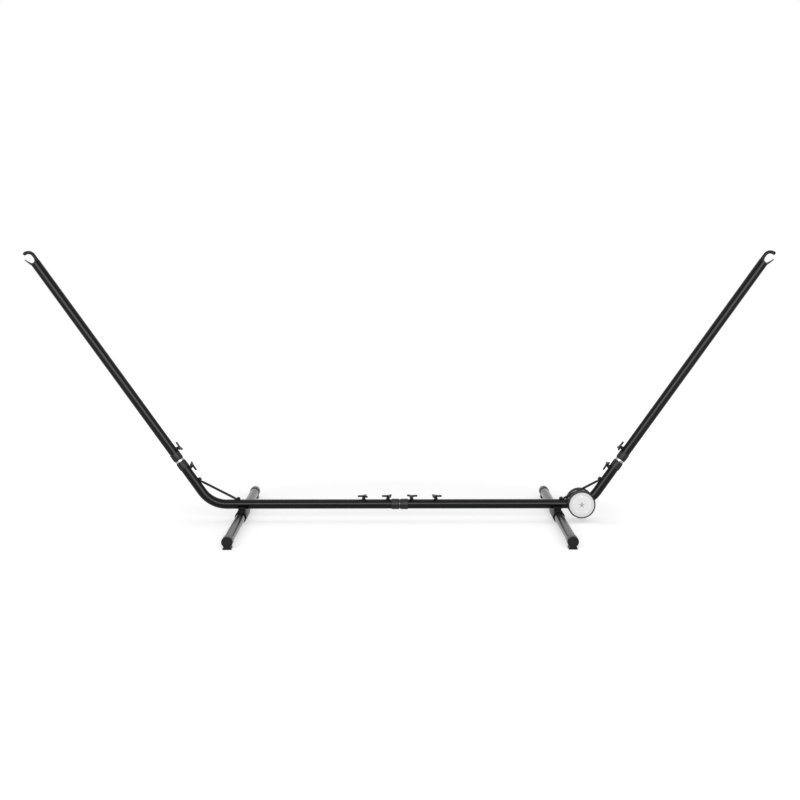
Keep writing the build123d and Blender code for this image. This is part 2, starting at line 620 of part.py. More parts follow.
def wheel_hub(end):
    """Moulded hub: rim, web, boss and ribs."""
    web_outer = WHEEL_OUTER_Y - HUB_WEB_SETBACK
    inner_r = RIM_R - TYRE_RIB - RIM_WALL
    hub = rim_band() - bar(2 * inner_r, WHEEL_INNER_Y, WHEEL_OUTER_Y)
    hub = chamfer(ring_edges(hub, WHEEL_OUTER_Y, inner_r), HUB_CHAMFER)
    hub += bar(2 * inner_r, web_outer - HUB_WEB, web_outer)
    hub += bar(HUB_BOSS_OD, WHEEL_INNER_Y, BOSS_OUTER_Y)
    for index in range(HUB_RIB_COUNT):
        rib = Pos(0, 0, WHEEL_INNER_Y) * Box(inner_r + RIM_WALL / 2, HUB_RIB_WALL, web_outer - WHEEL_INNER_Y,
                                             align=(Align.MIN, Align.CENTER, Align.MIN))
        hub += Rot(0, 0, index * 360 / HUB_RIB_COUNT) * rib
    hub -= bar(AXLE_D + 2 * RUNNING_FIT, WHEEL_INNER_Y, WHEEL_OUTER_Y)
    return on_axle(end, hub)


def wheel_disc(end):
    """Cover disc on the outer face of the wheel, with a groove, a star and round buttons."""
    face = WHEEL_OUTER_Y - DISC_SETBACK
    radius = RIM_R - TYRE_RIB - RIM_WALL - SNUG_FIT
    disc = bar(2 * radius, face - DISC_THICKNESS, face)
    disc -= pipe(2 * DISC_GROOVE_RADIUS + DISC_GROOVE_WIDTH, 2 * DISC_GROOVE_RADIUS - DISC_GROOVE_WIDTH,
                 face - DISC_GROOVE_DEPTH, face)
    button = bar(BUTTON_D, face - DISC_THICKNESS / 2, face + BUTTON_HEIGHT)
    button = fillet(ring_edges(button, face + BUTTON_HEIGHT, BUTTON_D / 2), BUTTON_ROUND)
    star = Circle(STAR_INNER)
    for index in range(HUB_RIB_COUNT):
        tine_turn = Rot(0, 0, index * 360 / HUB_RIB_COUNT + 90)
        star += tine_turn * Pos(STAR_REACH / 2, 0) * Rectangle(STAR_REACH, STAR_WIDTH)
        disc += tine_turn * Pos(BUTTON_RADIUS, 0, 0) * button
    disc += extrude(Plane.XY.offset(face - DISC_THICKNESS / 2) * star, DISC_THICKNESS / 2 + STAR_HEIGHT)
    snaps = pipe(2 * radius, 2 * (radius - RIM_WALL / 2), WHEEL_OUTER_Y - HUB_WEB_SETBACK, face)
    return on_axle(end, disc + snaps)


# ---------------------------------------------------------------- nodes
def side_nodes(side):
    """Every node that both sides of the stand have."""
    nodes = {
        f"{side}_base_tube": base_tube(side),
        f"{side}_centre_collar": centre_collar(side),
        f"{side}_stub_collar": stub_collar(side),
        f"{side}_arm_connector": arm_connector(side),
        f"{side}_stop_ring": stop_ring(side),
        f"{side}_arm_tube": arm_tube(side),
        f"{side}_arm_collar": arm_collar(side),
        f"{side}_end_plug": end_plug(side),
        f"{side}_hook": hook(side),
        f"{side}_brace_rod": brace_rod(side),
        f"{side}_base_bolts": base_bolts(side),
        f"{side}_knob_nuts": knob_nuts(side),
        f"{side}_arm_knob_nut": on_side(side, knob_places(side)["arm"][0] * knob_nut()),
        f"{side}_foot_tube": foot_tube(side),
        f"{side}_foot_saddle": foot_saddle(side),
        f"{side}_front_foot_cap": foot_cap(side, -1),
        f"{side}_rear_foot_cap": foot_cap(side, 1),
    }
    for name, (place, turn) in knob_places(side).items():
        nodes[f"{side}_{name}_knob_stud"] = on_side(side, place * knob_stud())
        nodes[f"{side}_{name}_knob_head"] = on_side(side, place * Rot(0, 0, turn) * knob_head())
    return nodes


def wheel_nodes():
    """The two wheels at the right bend and what carries them."""
    nodes = {"axle_sleeve": axle_sleeve(), "wheel_axle": wheel_axle(), "axle_clips": axle_clips()}
    for name, end in (("front", -1), ("rear", 1)):
        nodes[f"{name}_wheel_tyre"] = wheel_tyre(end)
        nodes[f"{name}_wheel_hub"] = wheel_hub(end)
        nodes[f"{name}_wheel_disc"] = wheel_disc(end)
    return nodes


def all_nodes():
    """Every node of the stand, by name."""
    nodes = {"centre_connector": centre_connector()}
    for side in SIDES:
        nodes.update(side_nodes(side))
    nodes.update(wheel_nodes())
    return nodes


NODES = all_nodes()
os.makedirs("parts", exist_ok=True)
for node_name, node_shape in NODES.items():
    export_step(node_shape, f"parts/{node_name}.step")
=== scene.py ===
"""Looks of a portable steel-tube hammock stand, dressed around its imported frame.

Lengths are in metres. The right half of the stand is worked out and the left half is its
mirror image. A skin is a stack of rings, an array of shape (rings, points, 3), and every
ring of a stack has the same number of points.
"""

from __future__ import annotations

import json
import logging
import math
from dataclasses import dataclass
from enum import Enum
from typing import Any, Sequence

import bpy
import numpy as np
from mathutils import Matrix, Vector

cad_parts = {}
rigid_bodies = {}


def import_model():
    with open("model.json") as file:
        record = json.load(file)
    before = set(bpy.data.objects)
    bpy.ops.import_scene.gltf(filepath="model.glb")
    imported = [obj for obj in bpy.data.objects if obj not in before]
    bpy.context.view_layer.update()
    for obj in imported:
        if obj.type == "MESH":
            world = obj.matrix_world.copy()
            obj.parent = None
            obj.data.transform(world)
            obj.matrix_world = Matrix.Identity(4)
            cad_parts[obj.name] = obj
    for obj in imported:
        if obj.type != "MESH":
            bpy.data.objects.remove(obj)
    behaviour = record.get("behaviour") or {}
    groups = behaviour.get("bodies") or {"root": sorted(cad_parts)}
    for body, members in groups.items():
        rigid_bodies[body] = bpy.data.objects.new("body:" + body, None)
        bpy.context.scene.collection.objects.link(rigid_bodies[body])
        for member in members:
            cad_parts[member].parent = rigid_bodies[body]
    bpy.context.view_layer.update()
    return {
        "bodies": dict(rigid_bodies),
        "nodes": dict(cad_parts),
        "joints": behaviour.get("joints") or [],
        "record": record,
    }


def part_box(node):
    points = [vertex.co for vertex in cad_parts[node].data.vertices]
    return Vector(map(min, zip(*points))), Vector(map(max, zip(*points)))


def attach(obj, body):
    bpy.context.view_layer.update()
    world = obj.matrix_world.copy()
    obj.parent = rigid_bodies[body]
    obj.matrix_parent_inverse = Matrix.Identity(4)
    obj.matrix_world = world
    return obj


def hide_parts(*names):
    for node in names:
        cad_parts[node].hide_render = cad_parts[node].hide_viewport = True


LOG = logging.getLogger("hammock_stand")
MM = 0.001
TURN = 2.0 * math.pi
SMOOTH_ANGLE = math.radians(38.0)
DOWN = np.array([0.0, -1.0, 0.0])
ARM_SLOPE = 55.0
BEND_RADIUS = 125 * MM
TUBE_WALL = 1.5 * MM
SNUG = 0.05 * MM
BOLT_RADIUS = 4 * MM
NUT_HEIGHT = 6.5 * MM
NUT_SINK = 1.6 * MM
ROUND = 2.0


class Side(Enum):
    """Half of the stand, by the sign of X there."""

    LEFT = -1
    RIGHT = 1

    @property
    def word(self) -> str:
        """The side's name as the nodes spell it."""
        return self.name.lower()

    def mirrored(self, points: np.ndarray) -> np.ndarray:
        """Points of the right half, taken to this side: X times the side's sign."""
        return points * np.array([self.value, 1.0, 1.0])


class End(Enum):
    """Front or rear of the stand, by the sign of Y there."""

    FRONT = -1
    REAR = 1

    @property
    def word(self) -> str:
        """The end's name as the nodes spell it."""
        return self.name.lower()


# ------------------------------------------------------------------ flat outlines
def unit(vectors: np.ndarray) -> np.ndarray:
    """Vectors divided by their own length."""
    return vectors / np.linalg.norm(vectors, axis=-1, keepdims=True)


@dataclass(frozen=True)
class Outline:
    """A flat line of points with a mark that is 1 in the middle of a rounded corner."""

    points: np.ndarray
    edge: np.ndarray


def rounded(corners: Sequence[Sequence[float]], closed: bool = True, steps: int = 6) -> Outline:
    """Polygon whose corners are turned into arcs.

    An arc's middle lies on the corner's bisector at radius / sin(half the corner's angle),
    and its points are spread evenly between the two places where it touches the sides.

    Args:
        corners: (a, b, radius) of each corner; an open line keeps its two ends as they are.
        closed: whether the last corner is joined to the first.
        steps: points on each arc.

    Returns:
        The outline, in the order of the corners.
    """
    table = np.asarray(corners, float)
    spots, radii = table[:, :2], np.maximum(table[:, 2], 0.02 * MM)
    back, ahead = unit(np.roll(spots, 1, 0) - spots), unit(np.roll(spots, -1, 0) - spots)
    half = 0.5 * np.arccos(np.clip(np.sum(back * ahead, -1), -0.9999, 0.9999))
    middle = spots + unit(back + ahead) * (radii / np.sin(half))[:, None]
    first = unit(spots + back * (radii / np.tan(half))[:, None] - middle)
    last = unit(spots + ahead * (radii / np.tan(half))[:, None] - middle)
    sweep = (math.pi - 2.0 * half)[:, None]
    share = np.linspace(0.0, 1.0, steps)[None, :]
    blend = (np.sin((1.0 - share) * sweep)[..., None] * first[:, None]
             + np.sin(share * sweep)[..., None] * last[:, None]) / np.sin(sweep)[..., None]
    arcs = middle[:, None] + radii[:, None, None] * blend
    marks = np.broadcast_to(np.sin(math.pi * share), arcs.shape[:2])
    if closed:
        return Outline(arcs.reshape(-1, 2), marks.reshape(-1))
    points = np.concatenate([spots[:1], arcs[1:-1].reshape(-1, 2), spots[-1:]])
    return Outline(points, np.concatenate([[0.0], marks[1:-1].reshape(-1), [0.0]]))


def even(points: np.ndarray, count: int, closed: bool) -> np.ndarray:
    """The same line through points spread evenly along its length."""
    line = np.concatenate([points, points[:1]]) if closed else points
    run = np.concatenate([[0.0], np.cumsum(np.linalg.norm(np.diff(line, axis=0), axis=1))])
    places = np.linspace(0.0, run[-1], count, endpoint=not closed)
    return np.stack([np.interp(places, run, line[:, axis]) for axis in range(line.shape[1])], -1)


def inset(points: np.ndarray, depth: float) -> np.ndarray:
    """Closed line, counter-clockwise, moved inwards by depth along its own normals."""
    along = unit(np.roll(points, -1, 0) - np.roll(points, 1, 0))
    return points + depth * np.stack([-along[:, 1], along[:, 0]], -1)


def smooth_step(low: float, high: float, value: np.ndarray) -> np.ndarray:
    """0 below low, 1 above high, and t * t * (3 - 2 t) between them."""
    share = np.clip((value - low) / (high - low), 0.0, 1.0)
    return share * share * (3.0 - 2.0 * share)


# ------------------------------------------------------------------ stacks of rings
def bearings(count: int) -> np.ndarray:
    """Angles that divide a full turn evenly."""
    return np.linspace(0.0, TURN, count, endpoint=False)


def turned(profile: np.ndarray, count: int) -> np.ndarray:
    """Surface of revolution: a point (r, z) goes to (r cos t, r sin t, z)."""
    angle = bearings(count)[None, :]
    radius, height = profile[:, :1], profile[:, 1:]
    return np.stack([radius * np.cos(angle), radius * np.sin(angle),
                     np.broadcast_to(height, (len(profile), count))], -1)


def drawn(path: np.ndarray, thick: np.ndarray, wide: np.ndarray, power: np.ndarray | float,
          count: int) -> np.ndarray:
    """Section carried along a line in the x-z plane.

    The section at each place is the closed curve |n / thick|^power + |y / wide|^power = 1,
    where n runs along the line's normal. A power of 2 is an ellipse, and a larger one comes
    nearer to a rectangle.

    Args:
        path: points (x, z) of the line.
        thick: half size along the normal, at each point.
        wide: half size along y, at each point.
        power: exponent of the section, one or one for each point.
        count: points of each ring.

    Returns:
        The stack of rings.
    """
    along = unit(np.gradient(path, axis=0))
    angle = bearings(count)[None, :]
    bend = 2.0 / np.broadcast_to(np.asarray(power, float), (len(path),))[:, None]
    out = np.sign(np.cos(angle)) * np.abs(np.cos(angle)) ** bend * np.asarray(thick)[:, None]
    side = np.sign(np.sin(angle)) * np.abs(np.sin(angle)) ** bend * np.asarray(wide)[:, None]
    return np.stack([path[:, :1] - along[:, 1:] * out, side, path[:, 1:] + along[:, :1] * out], -1)


def level(flat: np.ndarray, height: float | np.ndarray) -> np.ndarray:
    """One ring: a flat line of points lifted to a height."""
    return np.concatenate([flat, np.broadcast_to(height, (len(flat),))[:, None]], -1)


class Layers:
    """Rings laid one after another, each with its mark for edge wear and painted rim highlight."""

    def __init__(self) -> None:
        """Starts with no ring."""
        self.rings: list[np.ndarray] = []
        self.marks: list[float] = []

    def lay(self, flat: np.ndarray, height: float | np.ndarray, mark: float = 0.0) -> None:
        """Adds one ring: a flat line of points lifted to a height."""
        self.rings.append(level(flat, height))
        self.marks.append(mark)

    def lay_circles(self, spoke: np.ndarray, table: Sequence[tuple[float, float]]) -> None:
        """Adds one ring for each (radius, height), with its points at the spokes' bearings."""
        for radius, height in table:
            self.lay(spoke * radius, height)

    def stack(self) -> np.ndarray:
        """The rings as one array."""
        return np.stack(self.rings)


@dataclass(frozen=True)
class Place:
    """An origin and three directions, to put shapes that were worked out upright."""

    origin: np.ndarray
    x: np.ndarray
    y: np.ndarray
    z: np.ndarray

    def put(self, points: np.ndarray) -> np.ndarray:
        """Local points on the stand: origin + a x + b y + c z."""
        return self.origin + points @ np.stack([self.x, self.y, self.z])

    def moved(self, along: float) -> Place:
        """The same directions, further along z."""
        return Place(self.origin + along * self.z, self.x, self.y, self.z)

    def spun(self, degrees: float) -> Place:
        """Turned about z."""
        c, s = math.cos(math.radians(degrees)), math.sin(math.radians(degrees))
        return Place(self.origin, c * self.x + s * self.y, c * self.y - s * self.x, self.z)


class Skin:
    """Closed surfaces gathered for one piece, with UVs in metres and a mark on edges for wear and
    painted rim highlight.
    """

    def __init__(self, side: Side = Side.RIGHT) -> None:
        """Args: side: the half of the stand that the piece belongs to."""
        self.side = side
        self.points: list[np.ndarray] = []
        self.edges: list[np.ndarray] = []
        self.tones: list[np.ndarray] = []
        self.faces: list[list[int]] = []
        self.uvs: list[np.ndarray] = []
        self.count = 0

    def add(self, rings: np.ndarray, loop: bool = False, edge: np.ndarray | None = None,
            tone_and_painted_light: np.ndarray | None = None) -> Skin:
        """Adds one closed surface.

        Neighbouring rings are joined by four-sided faces. The first and last rings get a lid
        each, or are joined to each other. U runs around a ring and V from ring to ring, both
        as lengths on the surface. The signed volume, a sixth of the sum of p0 . (p1 x p2)
        over the triangles, tells which way round the faces have to go to point outwards.

        Args:
            rings: the stack of rings, already in place on the right half.
            loop: whether the last ring is joined to the first.
            edge: how strongly each ring takes edge wear and painted rim highlight, from 0 to 1.
                tone and painted light mark: how far each point leans to the finish's second
                    colour,
                from 0 to 1, which darkens the disc's star and paints shade in its groove, or to
                its pale colour, a painted highlight, from 0 to -1.
            tone_and_painted_light: how far each point leans to the finish's second colour, from 0
                to 1, or to its pale one, from 0 to -1.

        Returns:
            The skin itself.
        """
        rings = self.side.mirrored(np.asarray(rings, float))
        many, around = rings.shape[:2]
        ids = np.arange(many * around).reshape(many, around)
        upper = np.roll(ids, -1, 0) if loop else ids[1:]
        lower = ids if loop else ids[:-1]
        quads = np.stack([lower, np.roll(lower, -1, 1), np.roll(upper, -1, 1), upper], -1)
        stride = np.linalg.norm(np.roll(rings, -1, 0) - rings, axis=2).mean(1)
        reach = np.concatenate([[0.0], np.cumsum(stride)])
        girth = np.linalg.norm(np.roll(rings, -1, 1) - rings, axis=2).sum(1).max()
        u = np.arange(around + 1) / around * girth
        rows = len(quads)
        v0, v1 = reach[:rows, None], reach[1:rows + 1, None]
        wide = np.broadcast_to(u[None, :-1], (rows, around))
        next_wide = np.broadcast_to(u[None, 1:], (rows, around))
        tall, next_tall = (np.broadcast_to(v, (rows, around)) for v in (v0, v1))
        uv = np.stack([wide, tall, next_wide, tall, next_wide, next_tall, wide, next_tall], -1)
        quads, uv, flat = quads.reshape(-1, 4), uv.reshape(-1, 4, 2), rings.reshape(-1, 3)
        a, b, c, d = (flat[quads[:, k]] for k in range(4))
        volume = np.sum(np.cross(a, b) * c) + np.sum(np.cross(a, c) * d)
        lids = [] if loop else [ids[0][::-1], ids[-1]]
        for lid in lids:
            corners = flat[lid]
            volume += np.sum(np.cross(corners[1:-1], corners[2:]) @ corners[0])
        if volume < 0.0:
            quads, uv, lids = quads[:, ::-1], uv[:, ::-1], [lid[::-1] for lid in lids]
        self.faces += (quads + self.count).tolist() + [(lid + self.count).tolist() for lid in lids]
        self.uvs += [uv.reshape(-1, 2)] + [flat[lid][:, :2] for lid in lids]
        worn = np.zeros(many) if edge is None else np.asarray(edge, float)
        self.edges.append(np.repeat(worn, around))
        self.tones.append(np.zeros(many * around) if tone_and_painted_light is None else tone_and_painted_light.reshape(-1))
        self.points.append(flat)
        self.count += len(flat)
        return self

    def build(self, name: str) -> bpy.types.Object:
        """Makes the mesh and its object, at the origin."""
        mesh = bpy.data.meshes.new(name)
        mesh.from_pydata(np.concatenate(self.points).tolist(), [], self.faces)
        layer = mesh.uv_layers.new(name="UVMap")
        layer.data.foreach_set("uv", np.concatenate(self.uvs).astype(np.float32).ravel())
        for label, values in (("edge_mark", self.edges), ("tone_mark", self.tones)):
            mark = mesh.attributes.new(label, "FLOAT", "POINT")
            mark.data.foreach_set("value", np.concatenate(values).astype(np.float32))
        smooth(mesh)
        piece = bpy.data.objects.new(name, mesh)
        bpy.context.scene.collection.objects.link(piece)
        return piece


def smooth(mesh: bpy.types.Mesh) -> None:
    """Smooth shading, with a crease wherever two faces meet at a clear angle."""
    mesh.shade_smooth()
    mesh.set_sharp_from_angle(angle=SMOOTH_ANGLE)


def merge(piece: bpy.types.Object, tool: bpy.types.Object) -> None:
    """Joins the tool's solid to the piece's, and removes the tool."""
    change = piece.modifiers.new("shape", "BOOLEAN")
    change.operation, change.solver, change.object = "UNION", "EXACT", tool
    graph = bpy.context.evaluated_depsgraph_get()
    mesh = bpy.data.meshes.new_from_object(piece.evaluated_get(graph))
    piece.modifiers.clear()
    piece.data = mesh
    smooth(mesh)
    bpy.data.objects.remove(tool)


# ------------------------------------------------------------------ finishes
class Graph:
    """Adds nodes to a tree and joins them by their sockets."""

    def __init__(self, tree: bpy.types.NodeTree) -> None:
        """Args: tree: the node tree of a material, a group or the world."""
        self.tree = tree

    def add(self, kind: str, inputs: dict[Any, Any] | None = None,
            **settings: Any) -> bpy.types.Node:
        """Adds one node.

        Args:
            kind: the node's type name.
            inputs: constants, or sockets to join, by the input's name or number.
            settings: the node's own options.

        Returns:
            The node.
        """
        node = self.tree.nodes.new(kind)
        for option, value in settings.items():
            setattr(node, option, value)
        for key, value in (inputs or {}).items():
            if isinstance(value, bpy.types.NodeSocket):
                self.tree.links.new(value, node.inputs[key])
            else:
                node.inputs[key].default_value = value
        return node

    def math(self, operation: str, *values: Any, clamp: bool = False) -> bpy.types.NodeSocket:
        """One sum of numbers or sockets."""
        node = self.add("ShaderNodeMath", dict(enumerate(values)), operation=operation,
                        use_clamp=clamp)
        return node.outputs[0]

    def remap(self, value: Any, low: Any, high: Any, new_low: Any = 0.0,
              new_high: Any = 1.0) -> bpy.types.NodeSocket:
        """A value taken from the range low to high into a new range, and held there."""
        node = self.add("ShaderNodeMapRange", {"Value": value, "From Min": low, "From Max": high,
                                               "To Min": new_low, "To Max": new_high})
        return node.outputs["Result"]

    def blend(self, share: Any, first: Any, second: Any) -> bpy.types.NodeSocket:
        """Mix of two colours."""
        node = self.add("ShaderNodeMix", {0: share, 6: first, 7: second}, data_type="RGBA")
        return node.outputs[2]


class Effects:
    """Shader node groups that several finishes share, each built once."""

    def __init__(self) -> None:
        """Builds every group."""
        self.relief = self._relief()
        self.mottle = self._mottle()
        self.scuffs = self._scuffs()
        self.wear = self._wear()
        self.dust = self._dust()

    @staticmethod
    def _group(name: str, inputs: dict[str, float],
               outputs: Sequence[str]) -> tuple[Graph, Any, bpy.types.Node]:
        """An empty group with float sockets, its input sockets and its output node."""
        tree = bpy.data.node_groups.new(name, "ShaderNodeTree")
        kind = "NodeSocketFloat"
        for label, value in inputs.items():
            socket = tree.interface.new_socket(label, in_out="INPUT", socket_type=kind)
            socket.default_value = value
        for label in outputs:
            tree.interface.new_socket(label, in_out="OUTPUT", socket_type=kind)
        graph = Graph(tree)
        source = graph.add("NodeGroupInput").outputs
        return graph, source, graph.add("NodeGroupOutput")

    def _relief(self) -> bpy.types.NodeTree:
        """Fine bumps over a slower swell, such as orange peel or the grain of a mould."""
        graph, given, result = self._group(
            "surface_relief", {"Scale": 900.0, "Swell": 0.4}, ["Height"])
        place = graph.add("ShaderNodeTexCoord").outputs["Object"]
        fine = graph.add("ShaderNodeTexNoise", {"Vector": place, "Scale": given["Scale"],
                                                "Detail": 2.0, "Roughness": 0.5})
        coarse = graph.math("MULTIPLY", given["Scale"], 0.17)
        slow = graph.add("ShaderNodeTexNoise", {"Vector": place, "Detail": 1.0, "Scale": coarse})
        height = graph.math("MULTIPLY_ADD", slow.outputs[0], given["Swell"], fine.outputs[0])
        graph.tree.links.new(height, result.inputs["Height"])
        return graph.tree

    def _mottle(self) -> bpy.types.NodeTree:
        """Cloudy change over the surface between two values."""
        graph, given, result = self._group(
            "cloudy_change", {"Scale": 14.0, "Low": 0.3, "High": 0.4}, ["Value"])
        place = graph.add("ShaderNodeTexCoord").outputs["Object"]
        cloud = graph.add("ShaderNodeTexNoise", {"Vector": place, "Scale": given["Scale"],
                                                 "Detail": 5.0, "Roughness": 0.62})
        value = graph.remap(cloud.outputs[0], 0.3, 0.7, given["Low"], given["High"])
        graph.tree.links.new(value, result.inputs["Value"])
        return graph.tree

    def _scuffs(self) -> bpy.types.NodeTree:
        """Fine lines along the V direction of the piece's own UVs."""
        graph, given, result = self._group(
            "sliding_marks", {"Across": 2600.0, "Along": 9.0, "Threshold": 0.6},
            ["Mask", "Height"])
        uv = graph.add("ShaderNodeUVMap", uv_map="UVMap").outputs[0]
        parts = graph.add("ShaderNodeSeparateXYZ", {0: uv}).outputs
        wide = graph.math("MULTIPLY", parts[0], given["Across"])
        tall = graph.math("MULTIPLY", parts[1], given["Along"])
        stretched = graph.add("ShaderNodeCombineXYZ", {0: wide, 1: tall}).outputs[0]
        lines = graph.add("ShaderNodeTexNoise", {"Vector": stretched, "Scale": 1.0, "Detail": 3.0})
        ceiling = graph.math("ADD", given["Threshold"], 0.12)
        mask = graph.remap(lines.outputs[0], given["Threshold"], ceiling)
        graph.tree.links.new(mask, result.inputs["Mask"])
        graph.tree.links.new(lines.outputs[0], result.inputs["Height"])
        return graph.tree

    def _wear(self) -> bpy.types.NodeTree:
        """Rubbed patches along the marked edges, which on dark finishes also stand as painted rim
        highlights, and few small chips elsewhere.
        """
        graph, given, result = self._group(
            "rubbed_edges", {"Scale": 260.0, "Edges": 0.6, "Chips": 0.0}, ["Mask"])
        place = graph.add("ShaderNodeTexCoord").outputs["Object"]
        edge = graph.add("ShaderNodeAttribute", attribute_name="edge_mark").outputs["Fac"]
        noise = graph.add("ShaderNodeTexNoise", {"Vector": place, "Scale": given["Scale"],
                                                 "Detail": 4.0, "Roughness": 0.7}).outputs[0]
        rubbed = graph.math("MULTIPLY", graph.math("MULTIPLY", edge, given["Edges"]),
                            graph.remap(noise, 0.42, 0.62))
        chips = graph.math("MULTIPLY", graph.remap(noise, 0.76, 0.79), given["Chips"])
        graph.tree.links.new(graph.math("MAXIMUM", rubbed, chips), result.inputs["Mask"])
        return graph.tree

    def _dust(self) -> bpy.types.NodeTree:
        """Thin dust and single specks on what faces up."""
        graph, given, result = self._group("settled_dust", {"Film": 0.1, "Specks": 0.4}, ["Mask"])
        place = graph.add("ShaderNodeTexCoord").outputs["Object"]
        normal = graph.add("ShaderNodeNewGeometry").outputs["Normal"]
        up = graph.remap(graph.add("ShaderNodeSeparateXYZ", {0: normal}).outputs[2], 0.2, 0.95)
        cloud = graph.add("ShaderNodeTexNoise", {"Vector": place, "Scale": 38.0, "Detail": 6.0})
        film = graph.math("MULTIPLY", graph.remap(cloud.outputs[0], 0.35, 0.75), given["Film"])
        cells = graph.add("ShaderNodeTexVoronoi", {"Vector": place, "Scale": 420.0,
                                                   "Randomness": 1.0})
        speck = graph.math("MULTIPLY", graph.remap(cells.outputs["Distance"], 0.16, 0.08),
                           graph.remap(cloud.outputs[0], 0.5, 0.62))
        both = graph.math("MAXIMUM", film, graph.math("MULTIPLY", speck, given["Specks"]))
        graph.tree.links.new(graph.math("MULTIPLY", both, up), result.inputs["Mask"])
        return graph.tree


def grey(value: float, warmth: float = 0.0) -> tuple[float, float, float, float]:
    """A neutral colour, or one that leans to red by warmth and away from blue."""
    return (value * (1.0 + warmth), value, value * (1.0 - warmth), 1.0)


@dataclass(frozen=True)
class Finish:
    """A surface finish of the stand.

    The base colour goes to the second colour by the tone mark, which also paints shade
    into the disc's groove, and to the pale colour, a painted highlight, where that mark is
    below zero. It goes to the edge colour by edge wear, which on dark finishes also stands
    for painted rim highlights, and to the dust's colour by dust. Roughness follows a
    cloudy change, and bumps come from the relief and the scuffs.
    """

    name: str
    colour: float
    roughness: tuple[float, float]
    worn: float = 0.06
    second: float = 0.02
    pale: float = 0.0
    metallic: float = 0.0
    ior: float = 1.45
    relief_scale: float = 900.0
    relief_depth: float = 0.000012
    swell: float = 0.5
    variation: float = 0.12
    cloud_scale: float = 16.0
    edge_wear: float = 0.5
    chips: float = 0.0
    film: float = 0.08
    specks: float = 0.35
    dust_tone: float = 0.35
    scuffs: float = 0.0
    scuff_depth: float = 0.0
    warmth: float = 0.0

    def make(self, effects: Effects) -> bpy.types.Material:
        """Builds the material.

        Args:
            effects: the shared node groups.

        Returns:
            The material, with constants set on the shader's own sockets.
        """
        material = bpy.data.materials.new(self.name)
        material.use_nodes = True
        graph = Graph(material.node_tree)
        shader = material.node_tree.nodes["Principled BSDF"]
        shader.inputs["Metallic"].default_value = self.metallic
        shader.inputs["IOR"].default_value = self.ior

        def grow(tree: bpy.types.NodeTree, inputs: dict[str, float]) -> Any:
            """One of the shared effects with this finish's values."""
            node = graph.add("ShaderNodeGroup", node_tree=tree)
            for label, value in inputs.items():
                node.inputs[label].default_value = value
            return node.outputs

        low, high = self.colour * (1.0 - self.variation), self.colour * (1.0 + self.variation)
        cloud = grow(effects.mottle, {"Scale": self.cloud_scale, "Low": 0.0, "High": 1.0})["Value"]
        colour = graph.blend(cloud, grey(low, self.warmth), grey(high, self.warmth))
        # This mark darkens the disc's star, paints shade into its groove, and below zero paints
        # highlights on its buttons.
        tone_and_painted_light = graph.add("ShaderNodeAttribute", attribute_name="tone_mark").outputs["Fac"]
        colour = graph.blend(tone_and_painted_light, colour, grey(self.second, self.warmth))
        # Painted highlight: where the mark is below zero the colour goes to the pale highlight
        # colour.
        if self.pale:
            below = graph.math("MULTIPLY", tone_and_painted_light, -1.0, clamp=True)
            colour = graph.blend(below, colour, grey(self.pale, self.warmth))
        worn = grow(effects.wear, {"Edges": self.edge_wear, "Chips": self.chips})["Mask"]
        # Painted rim highlight: on dark finishes this lighter edge colour stands for highlights
        # along rounded edges, together with real rubbing.
        colour = graph.blend(worn, colour, grey(self.worn))
        dust = grow(effects.dust, {"Film": self.film, "Specks": self.specks})["Mask"]
        colour = graph.blend(dust, colour, grey(self.dust_tone, 0.03))
        rough = grow(effects.mottle, {"Scale": 2.3 * self.cloud_scale, "Low": self.roughness[0],
                                      "High": self.roughness[1]})["Value"]
        height = grow(effects.relief, {"Scale": self.relief_scale, "Swell": self.swell})["Height"]
        height = graph.math("MULTIPLY", height, self.relief_depth)
        if self.scuffs or self.scuff_depth:
            marks = grow(effects.scuffs, {"Threshold": 0.56})
            rough = graph.math("MULTIPLY_ADD", marks["Mask"], self.scuffs, rough, clamp=True)
            height = graph.math("MULTIPLY_ADD", marks["Height"], self.scuff_depth, height)
        rough = graph.math("MULTIPLY_ADD", dust, 0.3, rough, clamp=True)
        bump = graph.add("ShaderNodeBump", {"Height": height, "Strength": 1.0, "Distance": 1.0})
        results = {"Base Color": colour, "Roughness": rough, "Normal": bump.outputs[0]}
        for socket, value in results.items():
            material.node_tree.links.new(value, shader.inputs[socket])
        return material


